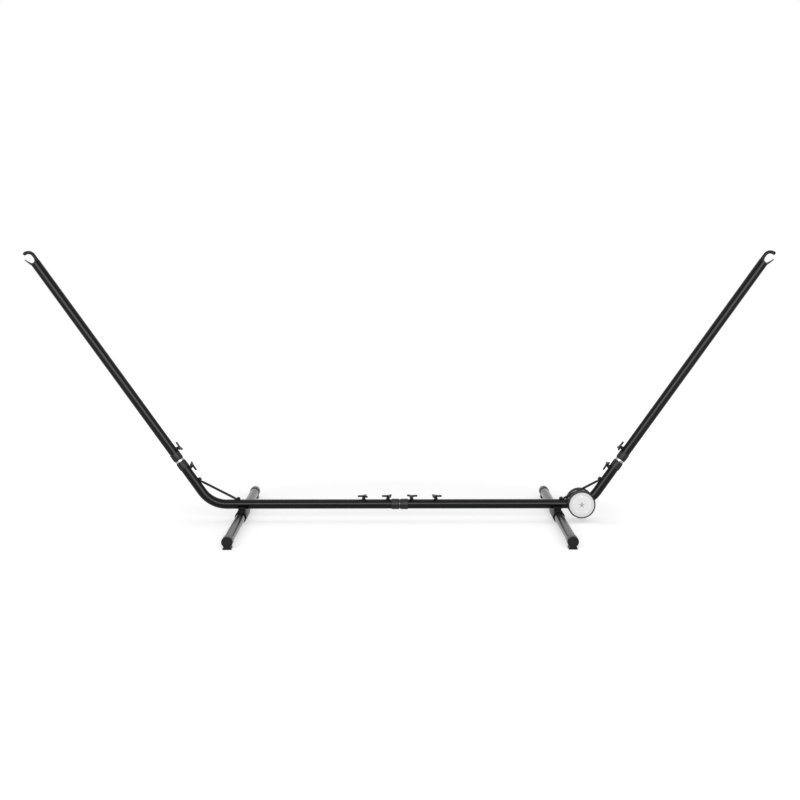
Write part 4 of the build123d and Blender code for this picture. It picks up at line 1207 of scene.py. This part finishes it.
# ------------------------------------------------------------------ braces and bolts
@dataclass
class Brace:
    """Brace rod across the bend and the bolts of one half of the base."""

    anchors: Anchors
    side: Side
    span: float = 114 * MM
    rod: float = 5 * MM
    tab: tuple[float, float, float] = (17 * MM, 15 * MM, 4.6 * MM)
    blend: float = 12 * MM
    knee: float = 12 * MM
    head_flats: float = 13 * MM
    head_height: float = 5.3 * MM
    saddle_wall: float = 4.5 * MM
    wall: float = TUBE_WALL

    def rod_skin(self) -> Skin:
        """Rod between the two flattened ends.

        The axis runs straight from tab to tab, with a rounded knee at each. Along it the half
        width and the half thickness go from the tab's to the rod's by a smooth step, and the
        section's power falls from nearly square to round. The tab's end is a half circle in
        plan: half width = sqrt(w^2 - (w - s)^2).

        Returns:
            The rod's skin.
        """
        a = self.anchors
        length, width, thick = self.tab
        beam, stub = a.on_top(a.beam, a.apex_x - self.span), a.on_top(a.arm, self.span)
        low = a.tube + thick / 2
        stations = ((-length / 2, 0.0), (length / 2, self.knee))
        first = [[*(beam.origin + s * beam.x + low * beam.z)[[0, 2]], r] for s, r in stations]
        last = [[*(stub.origin - s * stub.x + low * stub.z)[[0, 2]], r] for s, r in stations]
        line = rounded(first + last[::-1], closed=False, steps=9).points
        path = even(line, 220, closed=False)
        run = np.linspace(0.0, np.linalg.norm(np.diff(line, axis=0), axis=1).sum(), 220)
        near = np.minimum(run, run[-1] - run)
        change = smooth_step(length - 2 * MM, length + self.blend, near)
        wide = width / 2 + change * (self.rod - width / 2)
        flat = thick / 2 + change * (self.rod - thick / 2)
        end = np.sqrt(np.maximum((width / 2) ** 2 - np.maximum(width / 2 - near, 0.0) ** 2,
                                 (0.6 * MM) ** 2))
        wide = np.minimum(wide, end)
        rings = drawn(path, flat, wide, 6.0 - 4.0 * change, 36)
        return Skin(self.side).add(rings, edge=0.5 * (1.0 - change))

    def hexagon(self, count: int) -> np.ndarray:
        """Radius of a hexagon at each bearing: half the flats / cos(angle to the flat)."""
        angle = np.mod(bearings(count), TURN / 6) - TURN / 12
        return self.head_flats / 2 / np.cos(angle)

    def bolt(self, place: Place) -> Skin:
        """Hexagon head with a chamfered crown and a washer face, on its shank.

        The crown's edge is where the hexagon meets a cone of 30 degrees, so the corners end
        lower than the flats.

        Args:
            place: on the tube's axis under the bolt, with z out of the tube.

        Returns:
            The bolt's skin.
        """
        seat = self.anchors.tube + self.tab[2]
        top = seat + self.head_height
        count = 72
        hexagon, spoke = self.hexagon(count), turned(np.array([[1.0, 0.0]]), count)[0, :, :2]
        crown = 0.94 * self.head_flats / 2
        fall = (hexagon - crown) * math.tan(math.radians(30.0))
        nut, washer = self.anchors.tube - self.wall - NUT_SINK, 0.97 * self.head_flats / 2
        layers = Layers()
        layers.lay_circles(spoke, ((2.4 * MM, nut - 8.4 * MM), (BOLT_RADIUS, nut - 7.2 * MM),
                                   (BOLT_RADIUS, seat), (washer, seat),
                                   (washer, seat + 0.3 * MM)))
        for less, height in ((0.15 * MM, seat + 0.35 * MM), (0.0, seat + 0.55 * MM),
                             (0.0, top - fall - 0.1 * MM), (0.2 * MM, top - fall)):
            layers.lay(spoke * (hexagon - less)[:, None], height)
        layers.lay_circles(spoke, ((crown, top - 0.03 * MM), (crown - 0.4 * MM, top),
                                   (3.4 * MM, top), (3.0 * MM, top - 0.35 * MM),
                                   (0.3 * MM, top - 0.35 * MM)))
        skin = Skin(self.side).add(place.put(layers.stack()))
        return join([skin, self.nut(place, nut)])

    def nut(self, place: Place, top: float) -> Skin:
        """Hexagon nut inside the tube, with its bore."""
        count = 48
        hexagon = turned(np.array([[1.0, 0.0]]), count)[0, :, :2] * self.hexagon(count)[:, None]
        bore, bottom = unit(hexagon) * (BOLT_RADIUS + SNUG), top - NUT_HEIGHT
        rings = [level(bore, bottom), level(0.96 * hexagon, bottom),
                 level(hexagon, bottom + 0.3 * MM), level(hexagon, top - 0.3 * MM),
                 level(0.96 * hexagon, top), level(bore, top)]
        return Skin(self.side).add(place.put(np.stack(rings)), loop=True)

    def foot_bolt(self) -> Skin:
        """Low domed head under the saddle, with its shank up into the beam."""
        a = self.anchors
        head = a.foot[2] - a.tube - SNUG - self.saddle_wall
        nut = a.beam_z - (a.tube - self.wall - NUT_SINK)
        outline = rounded([(0.4 * MM, head - 2.4 * MM, 0.0),
                           (2.4 * MM, head - 2.4 * MM, 0.2 * MM),
                           (2.9 * MM, head - 3.4 * MM, 0.2 * MM),
                           (6.0 * MM, head - 3.2 * MM, 2.0 * MM),
                           (7.5 * MM, head - 0.9 * MM, 0.3 * MM), (7.5 * MM, head, 0.2 * MM),
                           (BOLT_RADIUS, head, 0.1 * MM),
                           (BOLT_RADIUS, nut + 7.2 * MM, 0.3 * MM),
                           (2.4 * MM, nut + 8.4 * MM, 0.2 * MM),
                           (0.4 * MM, nut + 8.4 * MM, 0.0)], closed=False, steps=5)
        upright = Place(np.array([a.foot[0], 0.0, 0.0]), np.array([1.0, 0.0, 0.0]), -DOWN,
                        np.array([0.0, 0.0, 1.0]))
        skin = Skin(self.side).add(upright.put(turned(outline.points, 48)), edge=outline.edge)
        return join([skin, self.nut(upright, nut + NUT_HEIGHT)])

    def make(self, dresser: Dresser) -> None:
        """Rod and bolts."""
        a, word = self.anchors, self.side.word
        dresser.dress(self.rod_skin(), f"{word}_flattened_brace_rod", f"{word}_brace_rod")
        bolts = join([self.bolt(a.on_top(a.beam, a.apex_x - self.span)),
                      self.bolt(a.on_top(a.arm, self.span)), self.foot_bolt()])
        dresser.dress(bolts, f"{word}_base_bolt_set", f"{word}_base_bolts")


# ------------------------------------------------------------------ feet
@dataclass
class Foot:
    """Cross tube, saddle and the two caps of one foot."""

    anchors: Anchors
    side: Side
    wall: float = TUBE_WALL
    cap_wall: float = 2.2 * MM
    cap_length: float = 45 * MM
    cap_end: float = 3 * MM
    front_round: float = 2 * MM
    back_round: float = 0.6 * MM
    pad: tuple[float, float] = (17 * MM, 6.5 * MM)
    pad_neck: float = 14 * MM
    snug: float = SNUG
    saddle_half: float = 75 * MM
    saddle_wall: float = 4.5 * MM
    neck: tuple[float, float] = (15 * MM, 23 * MM)
    lip: tuple[float, float, float] = (18 * MM, 23 * MM, 7 * MM)
    drop: float = 10 * MM

    def tube(self) -> Skin:
        """Straight cross tube."""
        a = self.anchors
        half = a.size("right_foot_tube")[1] / 2
        station = np.linspace(-half, half, 30)
        radius = np.concatenate([np.full(30, a.tube), np.full(30, a.tube - self.wall)])
        profile = np.column_stack([radius, np.concatenate([station, station[::-1]])])
        return Skin(self.side).add(a.across(a.foot).put(turned(profile, 96)), loop=True)

    def cap(self, end: End) -> Skin:
        """Sleeve cap whose section is a circle on a narrower neck and a flat foot plate.

        The section's circle keeps its own bearings, and the bearings below it are spread over
        the neck and the plate, so that every ring of the bore has a matching point. The rings
        go over the closed end, along the outside, and back inside the bore.

        Args:
            end: front or rear cap.

        Returns:
            The cap's skin.
        """
        a = self.anchors
        circle, (half, thick), floor = a.tube + self.cap_wall, self.pad, a.foot[2]
        start = -math.acos(self.pad_neck / circle)
        over = np.linspace(start, math.pi - start, 121)
        arc = circle * np.stack([np.cos(over), np.sin(over)], -1)
        upper = thick - floor
        corners = [(*arc[-1], 0.0), (-self.pad_neck, upper, 0.8 * MM), (-half, upper, 0.7 * MM),
                   (-half, -floor, 1.3 * MM), (half, -floor, 1.3 * MM), (half, upper, 0.7 * MM),
                   (self.pad_neck, upper, 0.8 * MM), (*arc[0], 0.0)]
        below = even(rounded(corners, closed=False, steps=7).points, 72, closed=False)[1:-1]
        outline = np.concatenate([arc, below])
        spread = np.linspace(math.pi - start, TURN + start, 72)[1:-1]
        spoke = np.concatenate([over, spread])
        spoke = np.stack([np.cos(spoke), np.sin(spoke)], -1)
        soft = np.concatenate([np.ones(len(arc)), np.full(len(below), 0.45)])[:, None]
        bore = a.tube + self.snug
        face = a.size("right_foot_tube")[1] / 2 + self.snug + self.cap_end
        quarter = np.linspace(0.0, 0.5 * math.pi, 6)
        sunk, tail, back = face - 0.35 * MM, face - self.cap_length, face - self.cap_end
        layers = Layers()
        layers.lay_circles(spoke, ((0.4 * MM, sunk), (9 * MM, sunk), (16.4 * MM, sunk),
                                   (16.8 * MM, face)))
        for q in quarter:
            layers.lay(inset(outline, self.front_round * soft * (1 - math.sin(q))),
                       face - self.front_round * (1 - math.cos(q)), math.sin(2 * q))
        for q in quarter[::-1]:
            layers.lay(inset(outline, self.back_round * (1 - math.sin(q))),
                       tail + self.back_round * (1 - math.cos(q)), 0.7 * math.sin(2 * q))
        layers.lay_circles(spoke, ((bore + 0.4 * MM, tail), (bore, tail + 0.4 * MM),
                                   (bore, back), (0.5 * MM, back)))
        stack = layers.stack() * np.array([1.0, 1.0, -end.value])
        return Skin(self.side).add(a.across(a.foot).put(stack), edge=np.array(layers.marks))

    def sleeve(self) -> Skin:
        """Sleeve of the saddle round the foot tube."""
        a = self.anchors
        bore, half = a.tube + self.snug, self.saddle_half
        outer = bore + self.saddle_wall
        outline = rounded([(bore, -half, 0.4 * MM), (outer, -half, 1.2 * MM),
                           (outer, half, 1.2 * MM), (bore, half, 0.4 * MM)])
        rings = a.across(a.foot).put(turned(outline.points, 120))
        return Skin(self.side).add(rings, loop=True, edge=outline.edge)

    def cradle(self) -> Skin:
        """Neck and lip of the saddle, hollowed for the beam.

        Rings are rounded rectangles. The bottom follows a cylinder inside the sleeve's wall,
        z = sqrt(r^2 - x^2), and the top is the lower of the rim and the beam's underside,
        z = -sqrt(R^2 - y^2) about the beam's axis.

        Returns:
            The cradle's skin.
        """
        a = self.anchors
        rim, root = a.beam_z - self.drop, a.tube + self.snug + 0.5 * self.saddle_wall

        def box(half_x: float, half_y: float, radius: float) -> np.ndarray:
            """Rounded rectangle of evenly spread points."""
            corners = [(half_x, -half_y, radius), (half_x, half_y, radius),
                       (-half_x, half_y, radius), (-half_x, -half_y, radius)]
            return even(rounded(corners, steps=8).points, 160, closed=True)

        neck, lip = box(*self.neck, 3 * MM), box(*self.lip[:2], 3.6 * MM)
        foot = box(self.neck[0] + 2 * MM, self.neck[1] + 2 * MM, 4 * MM)
        rings = []
        for share in (0.03, 0.35, 0.7, 1.0):
            flat = share * foot
            rings.append(level(flat, a.foot[2] + np.sqrt(root ** 2 - flat[:, 0] ** 2)))
        surface = a.tube + self.snug + self.saddle_wall
        skirt = a.foot[2] + np.sqrt(surface ** 2 - neck[:, 0] ** 2)
        rings.append(level(foot, skirt - 0.4 * MM))
        rings.append(level(neck + 0.3 * (foot - neck), skirt + 0.7 * MM))
        rings.append(level(neck, skirt + 2.0 * MM))
        under = rim - self.lip[2]
        for share, z in ((0.0, under - 0.8 * MM), (0.25, under - 0.1 * MM), (0.8, under),
                         (1.0, under + 0.6 * MM), (1.0, rim - 0.8 * MM)):
            rings.append(level(neck + share * (lip - neck), z))
        rings.append(level(inset(lip, 0.25 * MM), rim - 0.2 * MM))
        rings.append(level(inset(lip, 0.8 * MM), rim))
        bed = a.tube + self.snug
        for share in (0.93, 0.86, 0.8, 0.752, 0.7, 0.6, 0.45, 0.3, 0.15, 0.02):
            flat = share * lip
            dip = a.beam_z - np.sqrt(np.maximum(bed ** 2 - flat[:, 1] ** 2, 0.0))
            rings.append(level(flat, np.minimum(rim, dip)))
        stack = np.stack(rings) + np.array([a.foot[0], 0.0, 0.0])
        marks = np.zeros(len(rings))
        marks[11:14] = 1.0
        return Skin(self.side).add(stack, edge=marks)

    def make(self, dresser: Dresser) -> None:
        """Tube, caps and saddle."""
        word = self.side.word
        dresser.dress(self.tube(), f"{word}_cross_tube", f"{word}_foot_tube")
        for end in End:
            dresser.dress(self.cap(end), f"{word}_{end.word}_padded_cap",
                          f"{word}_{end.word}_foot_cap")
        saddle = self.sleeve().build(f"{word}_moulded_saddle")
        merge(saddle, self.cradle().build("cradle"))
        dresser.dress(saddle, saddle.name, f"{word}_foot_saddle")


# ------------------------------------------------------------------ wheels
@dataclass
class Wheels:
    """The two transport wheels and the sleeve that carries their axle."""

    anchors: Anchors
    inner: float = 23.5 * MM
    width: float = 25 * MM
    radius: float = 57.5 * MM
    tyre: float = 5.8 * MM
    rib: float = 1.5 * MM
    rib_half: float = 4 * MM
    rim: float = 4 * MM
    web_back: float = 9 * MM
    web: float = 4 * MM
    boss: float = 13 * MM
    boss_back: float = 6 * MM
    disc_back: float = 1.4 * MM
    disc_thick: float = 2.5 * MM
    groove: float = 42.5 * MM
    disc_front: float = 45.4 * MM
    star: tuple[float, float, float, float] = (15.5 * MM, 6.3 * MM, 1.0 * MM, 3.2 * MM)
    button_circle: float = 35 * MM
    count: int = 5
    bend_radius: float = BEND_RADIUS
    slope: float = ARM_SLOPE
    around: int = 200

    def put(self, end: End, rings: np.ndarray) -> np.ndarray:
        """Rings with z out of the wheel, on the front or rear end of the axle."""
        flip = np.array([1.0, 1.0, -end.value])
        return self.anchors.across(self.anchors.axle).put(rings * flip)

    def tyre_skin(self, end: End) -> Skin:
        """Band with rounded shoulders, three tread grooves and a locking rib inside."""
        low, high, out = self.inner, self.inner + self.width, self.radius
        middle, seat = (low + high) / 2, self.radius - self.tyre
        corners = [(seat, low, 0.3 * MM), (out, low, 2.6 * MM)]
        for groove in (-6.2 * MM, 0.0, 6.2 * MM):
            z = middle + groove
            corners += [(out, z - 1.1 * MM, 0.25 * MM), (out - 0.9 * MM, z - 0.7 * MM, 0.2 * MM),
                        (out - 0.9 * MM, z + 0.7 * MM, 0.2 * MM), (out, z + 1.1 * MM, 0.25 * MM)]
        corners += [(out, high, 2.6 * MM), (seat, high, 0.3 * MM),
                    (seat, middle + self.rib_half, 0.1 * MM),
                    (seat - self.rib, middle + self.rib_half, 0.1 * MM),
                    (seat - self.rib, middle - self.rib_half, 0.1 * MM),
                    (seat, middle - self.rib_half, 0.1 * MM)]
        outline = rounded(corners, steps=5)
        return Skin().add(self.put(end, turned(outline.points, self.around)), loop=True,
                          edge=outline.edge)

    def hub_skin(self, end: End) -> Skin:
        """Rim, web and boss in one turned profile, with five ribs behind the web."""
        low, high = self.inner, self.inner + self.width
        middle, seat = (low + high) / 2, self.radius - self.tyre
        bore, hollow = 5.05 * MM, seat - self.rib - self.rim
        face, back = high - self.web_back, high - self.web_back - self.web
        corners = [(seat, low, 0.5 * MM), (seat, middle - self.rib_half, 0.1 * MM),
                   (seat - self.rib, middle - self.rib_half, 0.1 * MM),
                   (seat - self.rib, middle + self.rib_half, 0.1 * MM),
                   (seat, middle + self.rib_half, 0.1 * MM), (seat, high, 0.6 * MM),
                   (hollow + 1.6 * MM, high, 0.5 * MM), (hollow, high - 1.6 * MM, 0.4 * MM),
                   (hollow, face, 1.0 * MM), (self.boss, face, 0.8 * MM),
                   (self.boss, high - self.boss_back, 0.6 * MM),
                   (bore, high - self.boss_back, 0.3 * MM),
                   (bore, low, 0.3 * MM), (self.boss, low, 0.6 * MM), (self.boss, back, 1.2 * MM),
                   (hollow, back, 1.5 * MM), (hollow, low, 0.5 * MM)]
        outline = rounded(corners, steps=5)
        skin = Skin().add(self.put(end, turned(outline.points, self.around)), loop=True,
                          edge=outline.edge)
        run = np.linspace(self.boss - 0.8 * MM, hollow + 0.8 * MM, 8)
        tall = 0.5 * (back - low - 0.4 * MM + 0.5 * MM)
        centre = back + 0.5 * MM - tall
        path = np.stack([run, np.full(8, centre)], -1)
        rib = drawn(path, np.full(8, tall), np.full(8, 1.5 * MM), 14.0, 32)
        for turn in np.arange(self.count) * 360.0 / self.count:
            c, s = math.cos(math.radians(turn)), math.sin(math.radians(turn))
            spun = rib @ np.array([[c, s, 0.0], [-s, c, 0.0], [0.0, 0.0, 1.0]])
            skin.add(self.put(end, spun))
        return skin

    def disc_skin(self, end: End) -> Skin:
        """Cover disc with its buttons: a height field over radius and bearing, with a snap skirt.

        The star's edge is the line from a tip to the next notch, radius = R r sin 36 /
        (R sin d + r sin(36 - d)) at bearing d from the tip, and its faces rise in straight
        slopes to the ridges. The star leans to the finish's second colour. The groove is a
        smooth dip, and its floor is also pulled towards the second colour as painted shade. A
        low bead runs between the star and the buttons. Buttons have a mark below zero, so they
        take the pale colour as a painted highlight.

        Args:
            end: front or rear wheel.

        Returns:
            The disc's skin.
        """
        high = self.inner + self.width
        face = high - self.disc_back
        edge = self.radius - self.tyre - self.rib - self.rim - 0.05 * MM
        spans = ((0.4, 20.0, 50), (20.0, 39.0, 17), (39.0, self.disc_front / MM, 40))
        out = np.unique(np.concatenate([np.linspace(*span) for span in spans]))[:, None] * MM
        angle = bearings(self.around)
        fifth = TURN / self.count
        away = np.abs(np.mod(angle - 0.25 * TURN + fifth / 2, fifth) - fifth / 2)
        tip, notch, rise, run = self.star
        half = math.radians(36.0)
        star = tip * notch * math.sin(half) / (tip * np.sin(away) + notch * np.sin(half - away))
        inside = np.clip((star[None, :] - out) / run, 0.0, 1.0)
        height = face + rise * inside
        height -= 0.9 * MM * np.exp(-((out - self.groove) / (0.75 * MM)) ** 4)
        height += 0.25 * MM * np.exp(-((out - 22.0 * MM) / (0.9 * MM)) ** 2)
        front = np.stack([out * np.cos(angle), out * np.sin(angle), height], -1)
        skirt = rounded([(self.disc_front, face, 0.0), (edge, face, 0.5 * MM),
                         (edge, high - self.web_back + 0.1 * MM, 0.3 * MM),
                         (edge - 2.0 * MM, high - self.web_back + 0.1 * MM, 0.3 * MM),
                         (edge - 2.0 * MM, face - self.disc_thick, 0.4 * MM),
                         (0.4 * MM, face - self.disc_thick, 0.0)], closed=False, steps=4)
        rings = np.concatenate([front, turned(skirt.points[1:], self.around)])
        tone_and_painted_light = np.zeros(rings.shape[:2])
        tone_and_painted_light[:len(front)] = 0.85 * smooth_step(0.0, 0.5, inside)
        # Painted shade: the groove's floor leans to the darker second colour, standing for the
        # shade in the dip.
        tone_and_painted_light[:len(front)] += 0.45 * np.exp(-((out - self.groove) / (0.8 * MM)) ** 4)
        marks = np.concatenate([np.zeros(len(front)), skirt.edge[1:]])
        skin = Skin().add(self.put(end, rings), edge=marks, tone_and_painted_light=tone_and_painted_light)
        pin = rounded([(0.2 * MM, face - 0.8 * MM, 0.0), (4 * MM, face - 0.8 * MM, 0.1 * MM),
                       (4 * MM, face + 1 * MM, 0.6 * MM), (0.2 * MM, face + 1 * MM, 0.0)],
                      closed=False, steps=5)
        button = turned(pin.points, 40)
        for turn in np.arange(self.count) * fifth + TURN / 4:
            shift = np.array([math.cos(turn), math.sin(turn), 0.0]) * self.button_circle
            # Painted highlight: the buttons take the pale colour, standing for the glint on their
            # rounded tops.
            skin.add(self.put(end, button + shift), tone_and_painted_light=-np.ones(button.shape[:2]))
        return skin

    def sleeve_skin(self) -> Skin:
        """Turned steel sleeve for the axle."""
        half = self.anchors.size("axle_sleeve")[1] / 2
        outline = rounded([(5.05 * MM, -half, 0.3 * MM), (7.5 * MM, -half, 0.4 * MM),
                           (7.5 * MM, half, 0.4 * MM), (5.05 * MM, half, 0.3 * MM)])
        rings = self.anchors.across(self.anchors.axle).put(turned(outline.points, 72))
        return Skin().add(rings, loop=True, edge=outline.edge)

    def sleeve_weld(self, end: End) -> Skin:
        """Bead where the sleeve leaves the bend.

        The bend is a torus, so at a point whose distance from the bend's pivot is q the
        tube's skin lies at y = sqrt(R^2 - (q - bend_radius)^2).

        Args:
            end: front or rear side of the tube.

        Returns:
            The bead's skin.
        """
        a = self.anchors
        tangent = self.bend_radius * math.tan(math.radians(self.slope / 2))
        pivot = np.array([a.apex_x - tangent, a.beam_z + self.bend_radius]) - a.axle[[0, 2]]
        angle = np.linspace(0.0, TURN, 168, endpoint=False)
        loop = 7.7 * MM * np.stack([np.cos(angle), np.sin(angle)], -1)
        away = np.linalg.norm(loop - pivot, axis=-1) - self.bend_radius
        lift = np.sqrt(a.tube ** 2 - away ** 2)[:, None]
        section = bearings(12)[None, :]
        size = 1.2 * MM * (1.0 + 0.2 * np.sqrt(np.mod(angle * 30 / TURN, 1.0)))[:, None]
        out = 7.7 * MM + size * np.cos(section)
        rings = np.stack([out * np.cos(angle)[:, None], out * np.sin(angle)[:, None],
                          lift + size * np.sin(section)], -1)
        return Skin().add(self.put(end, rings), loop=True)

    def make(self, dresser: Dresser) -> None:
        """Both wheels, the axle sleeve and its welds."""
        for end in End:
            word = end.word
            dresser.dress(self.tyre_skin(end), f"{word}_treaded_tyre", f"{word}_wheel_tyre")
            dresser.dress(self.hub_skin(end), f"{word}_ribbed_hub", f"{word}_wheel_hub")
            dresser.dress(self.disc_skin(end), f"{word}_cover_disc", f"{word}_wheel_disc")
            dresser.dress(self.sleeve_weld(end), f"{word}_sleeve_weld", "right_base_tube",
                          stands_in=False)
        dresser.dress(self.sleeve_skin(), "turned_axle_sleeve", "axle_sleeve")
        for node in ("wheel_axle", "axle_clips"):
            dresser.finish_node(node)


# ------------------------------------------------------------------ studio
@dataclass
class Studio:
    """Pale floor, soft lights, white surroundings and the camera."""

    floor_half: float = 14.0
    floor_colour: float = 0.86
    lift: float = 0.485
    soft: float = 0.3
    camera_at: tuple[float, float, float] = (-0.012, -5.818, 1.191)
    camera_pitch: float = 83.343
    camera_pan: float = -0.131
    camera_roll: float = -0.048
    lens: float = 63.32

    def floor(self) -> None:
        """Flat floor with a little of its own light for the eye alone, so it stays white."""
        side = np.linspace(-self.floor_half, self.floor_half, 9)
        x, y = np.meshgrid(side, side, indexing="ij")
        points = np.stack([x, y, np.zeros_like(x)], -1).reshape(-1, 3)
        ids = np.arange(81).reshape(9, 9)
        quads = np.stack([ids[:-1, :-1], ids[1:, :-1], ids[1:, 1:], ids[:-1, 1:]], -1)
        mesh = bpy.data.meshes.new("studio_floor")
        mesh.from_pydata(points.tolist(), [], quads.reshape(-1, 4).tolist())
        floor = bpy.data.objects.new("studio_floor", mesh)
        bpy.context.scene.collection.objects.link(floor)
        material = bpy.data.materials.new("studio_floor_paper")
        material.use_nodes = True
        tree = material.node_tree
        graph = Graph(tree)
        tree.nodes.remove(tree.nodes["Principled BSDF"])
        rays = graph.add("ShaderNodeLightPath").outputs
        seen = graph.math("MAXIMUM", rays["Is Camera Ray"], rays["Is Glossy Ray"])
        place = graph.add("ShaderNodeTexCoord").outputs["Object"]
        away = graph.add("ShaderNodeVectorMath", {0: place}, operation="LENGTH").outputs["Value"]
        lift = graph.remap(away, 0.9, 1.9, self.lift, 1.0 - self.floor_colour * self.soft)
        paper = graph.add("ShaderNodeBsdfDiffuse", {"Color": grey(self.floor_colour)})
        glow = graph.add("ShaderNodeEmission", {"Color": grey(1.0),
                                                "Strength": graph.math("MULTIPLY", seen, lift)})
        both = graph.add("ShaderNodeAddShader", {0: paper.outputs[0], 1: glow.outputs[0]})
        tree.links.new(both.outputs[0], tree.nodes["Material Output"].inputs["Surface"])
        mesh.materials.append(material)

    @staticmethod
    def surroundings(soft: float) -> None:
        """White world for camera and glossy rays, and a softer one for lighting."""
        world = bpy.data.worlds.new("white_surroundings")
        world.use_nodes = True
        bpy.context.scene.world = world
        graph = Graph(world.node_tree)
        rays = graph.add("ShaderNodeLightPath").outputs
        seen = graph.math("MAXIMUM", rays["Is Camera Ray"], rays["Is Glossy Ray"])
        seen = graph.math("MAXIMUM", seen, rays["Is Transmission Ray"])
        strength = graph.remap(seen, 0.0, 1.0, soft, 1.0)
        ground = world.node_tree.nodes["Background"]
        ground.inputs["Color"].default_value = grey(1.0)
        world.node_tree.links.new(strength, ground.inputs["Strength"])

    @staticmethod
    def light(name: str, at: Sequence[float], aim: Sequence[float], size: tuple[float, float],
              watts: float, fills: bool = True) -> None:
        """One rectangular soft light, which only adds its shine where fills is off."""
        data = bpy.data.lights.new(name, "AREA")
        data.shape, data.size, data.size_y, data.energy = "RECTANGLE", *size, watts
        lamp = bpy.data.objects.new(name, data)
        bpy.context.scene.collection.objects.link(lamp)
        lamp.location = at
        toward = np.array(aim, float) - np.array(at, float)
        lamp.rotation_euler = Vector(toward).to_track_quat("-Z", "Y").to_euler()
        lamp.visible_camera, lamp.visible_diffuse = False, fills

    def camera(self) -> None:
        """Camera at eye height in front of the middle of the stand."""
        data = bpy.data.cameras.new("studio_camera")
        data.lens, data.sensor_width, data.clip_end = self.lens, 36.0, 100.0
        camera = bpy.data.objects.new("studio_camera", data)
        bpy.context.scene.collection.objects.link(camera)
        pan = Matrix.Rotation(math.radians(self.camera_pan), 4, "Z")
        tilt = Matrix.Rotation(math.radians(self.camera_pitch), 4, "X")
        roll = Matrix.Rotation(math.radians(self.camera_roll), 4, "Z")
        camera.matrix_world = Matrix.Translation(self.camera_at) @ pan @ tilt @ roll
        bpy.context.scene.camera = camera

    def make(self) -> None:
        """Everything around the stand."""
        bpy.context.scene.view_settings.view_transform = "Standard"
        self.camera()
        self.floor()
        self.surroundings(self.soft)
        self.light("front_softbox", (0.0, -3.0, 1.05), (0.0, 0.0, 0.1), (6.4, 1.3), 97.0)
        self.light("front_sheen", (0.0, -3.0, 1.55), (0.0, 0.0, 0.3), (6.4, 1.4), 105.0,
                   fills=False)
        self.light("overhead_softbox", (0.0, 1.3, 3.5), (0.0, 0.0, 0.0), (6.0, 4.4), 32.0)


def main() -> None:
    """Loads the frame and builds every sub-assembly on it."""
    logging.basicConfig(level=logging.INFO, format="%(name)s: %(message)s")
    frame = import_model()
    Studio().make()
    anchors = Anchors(ARM_SLOPE)
    dresser = Dresser(frame)
    for side in Side:
        BaseTube(anchors, side).make(dresser)
        Joint(anchors, side).make(dresser)
        KnobSet(anchors, side).make(dresser)
        Arm(anchors, side).make(dresser)
        Brace(anchors, side).make(dresser)
        Foot(anchors, side).make(dresser)
    Joint(anchors, Side.RIGHT).make_centre(dresser)
    Wheels(anchors).make(dresser)


if __name__ == "__main__":
    main()
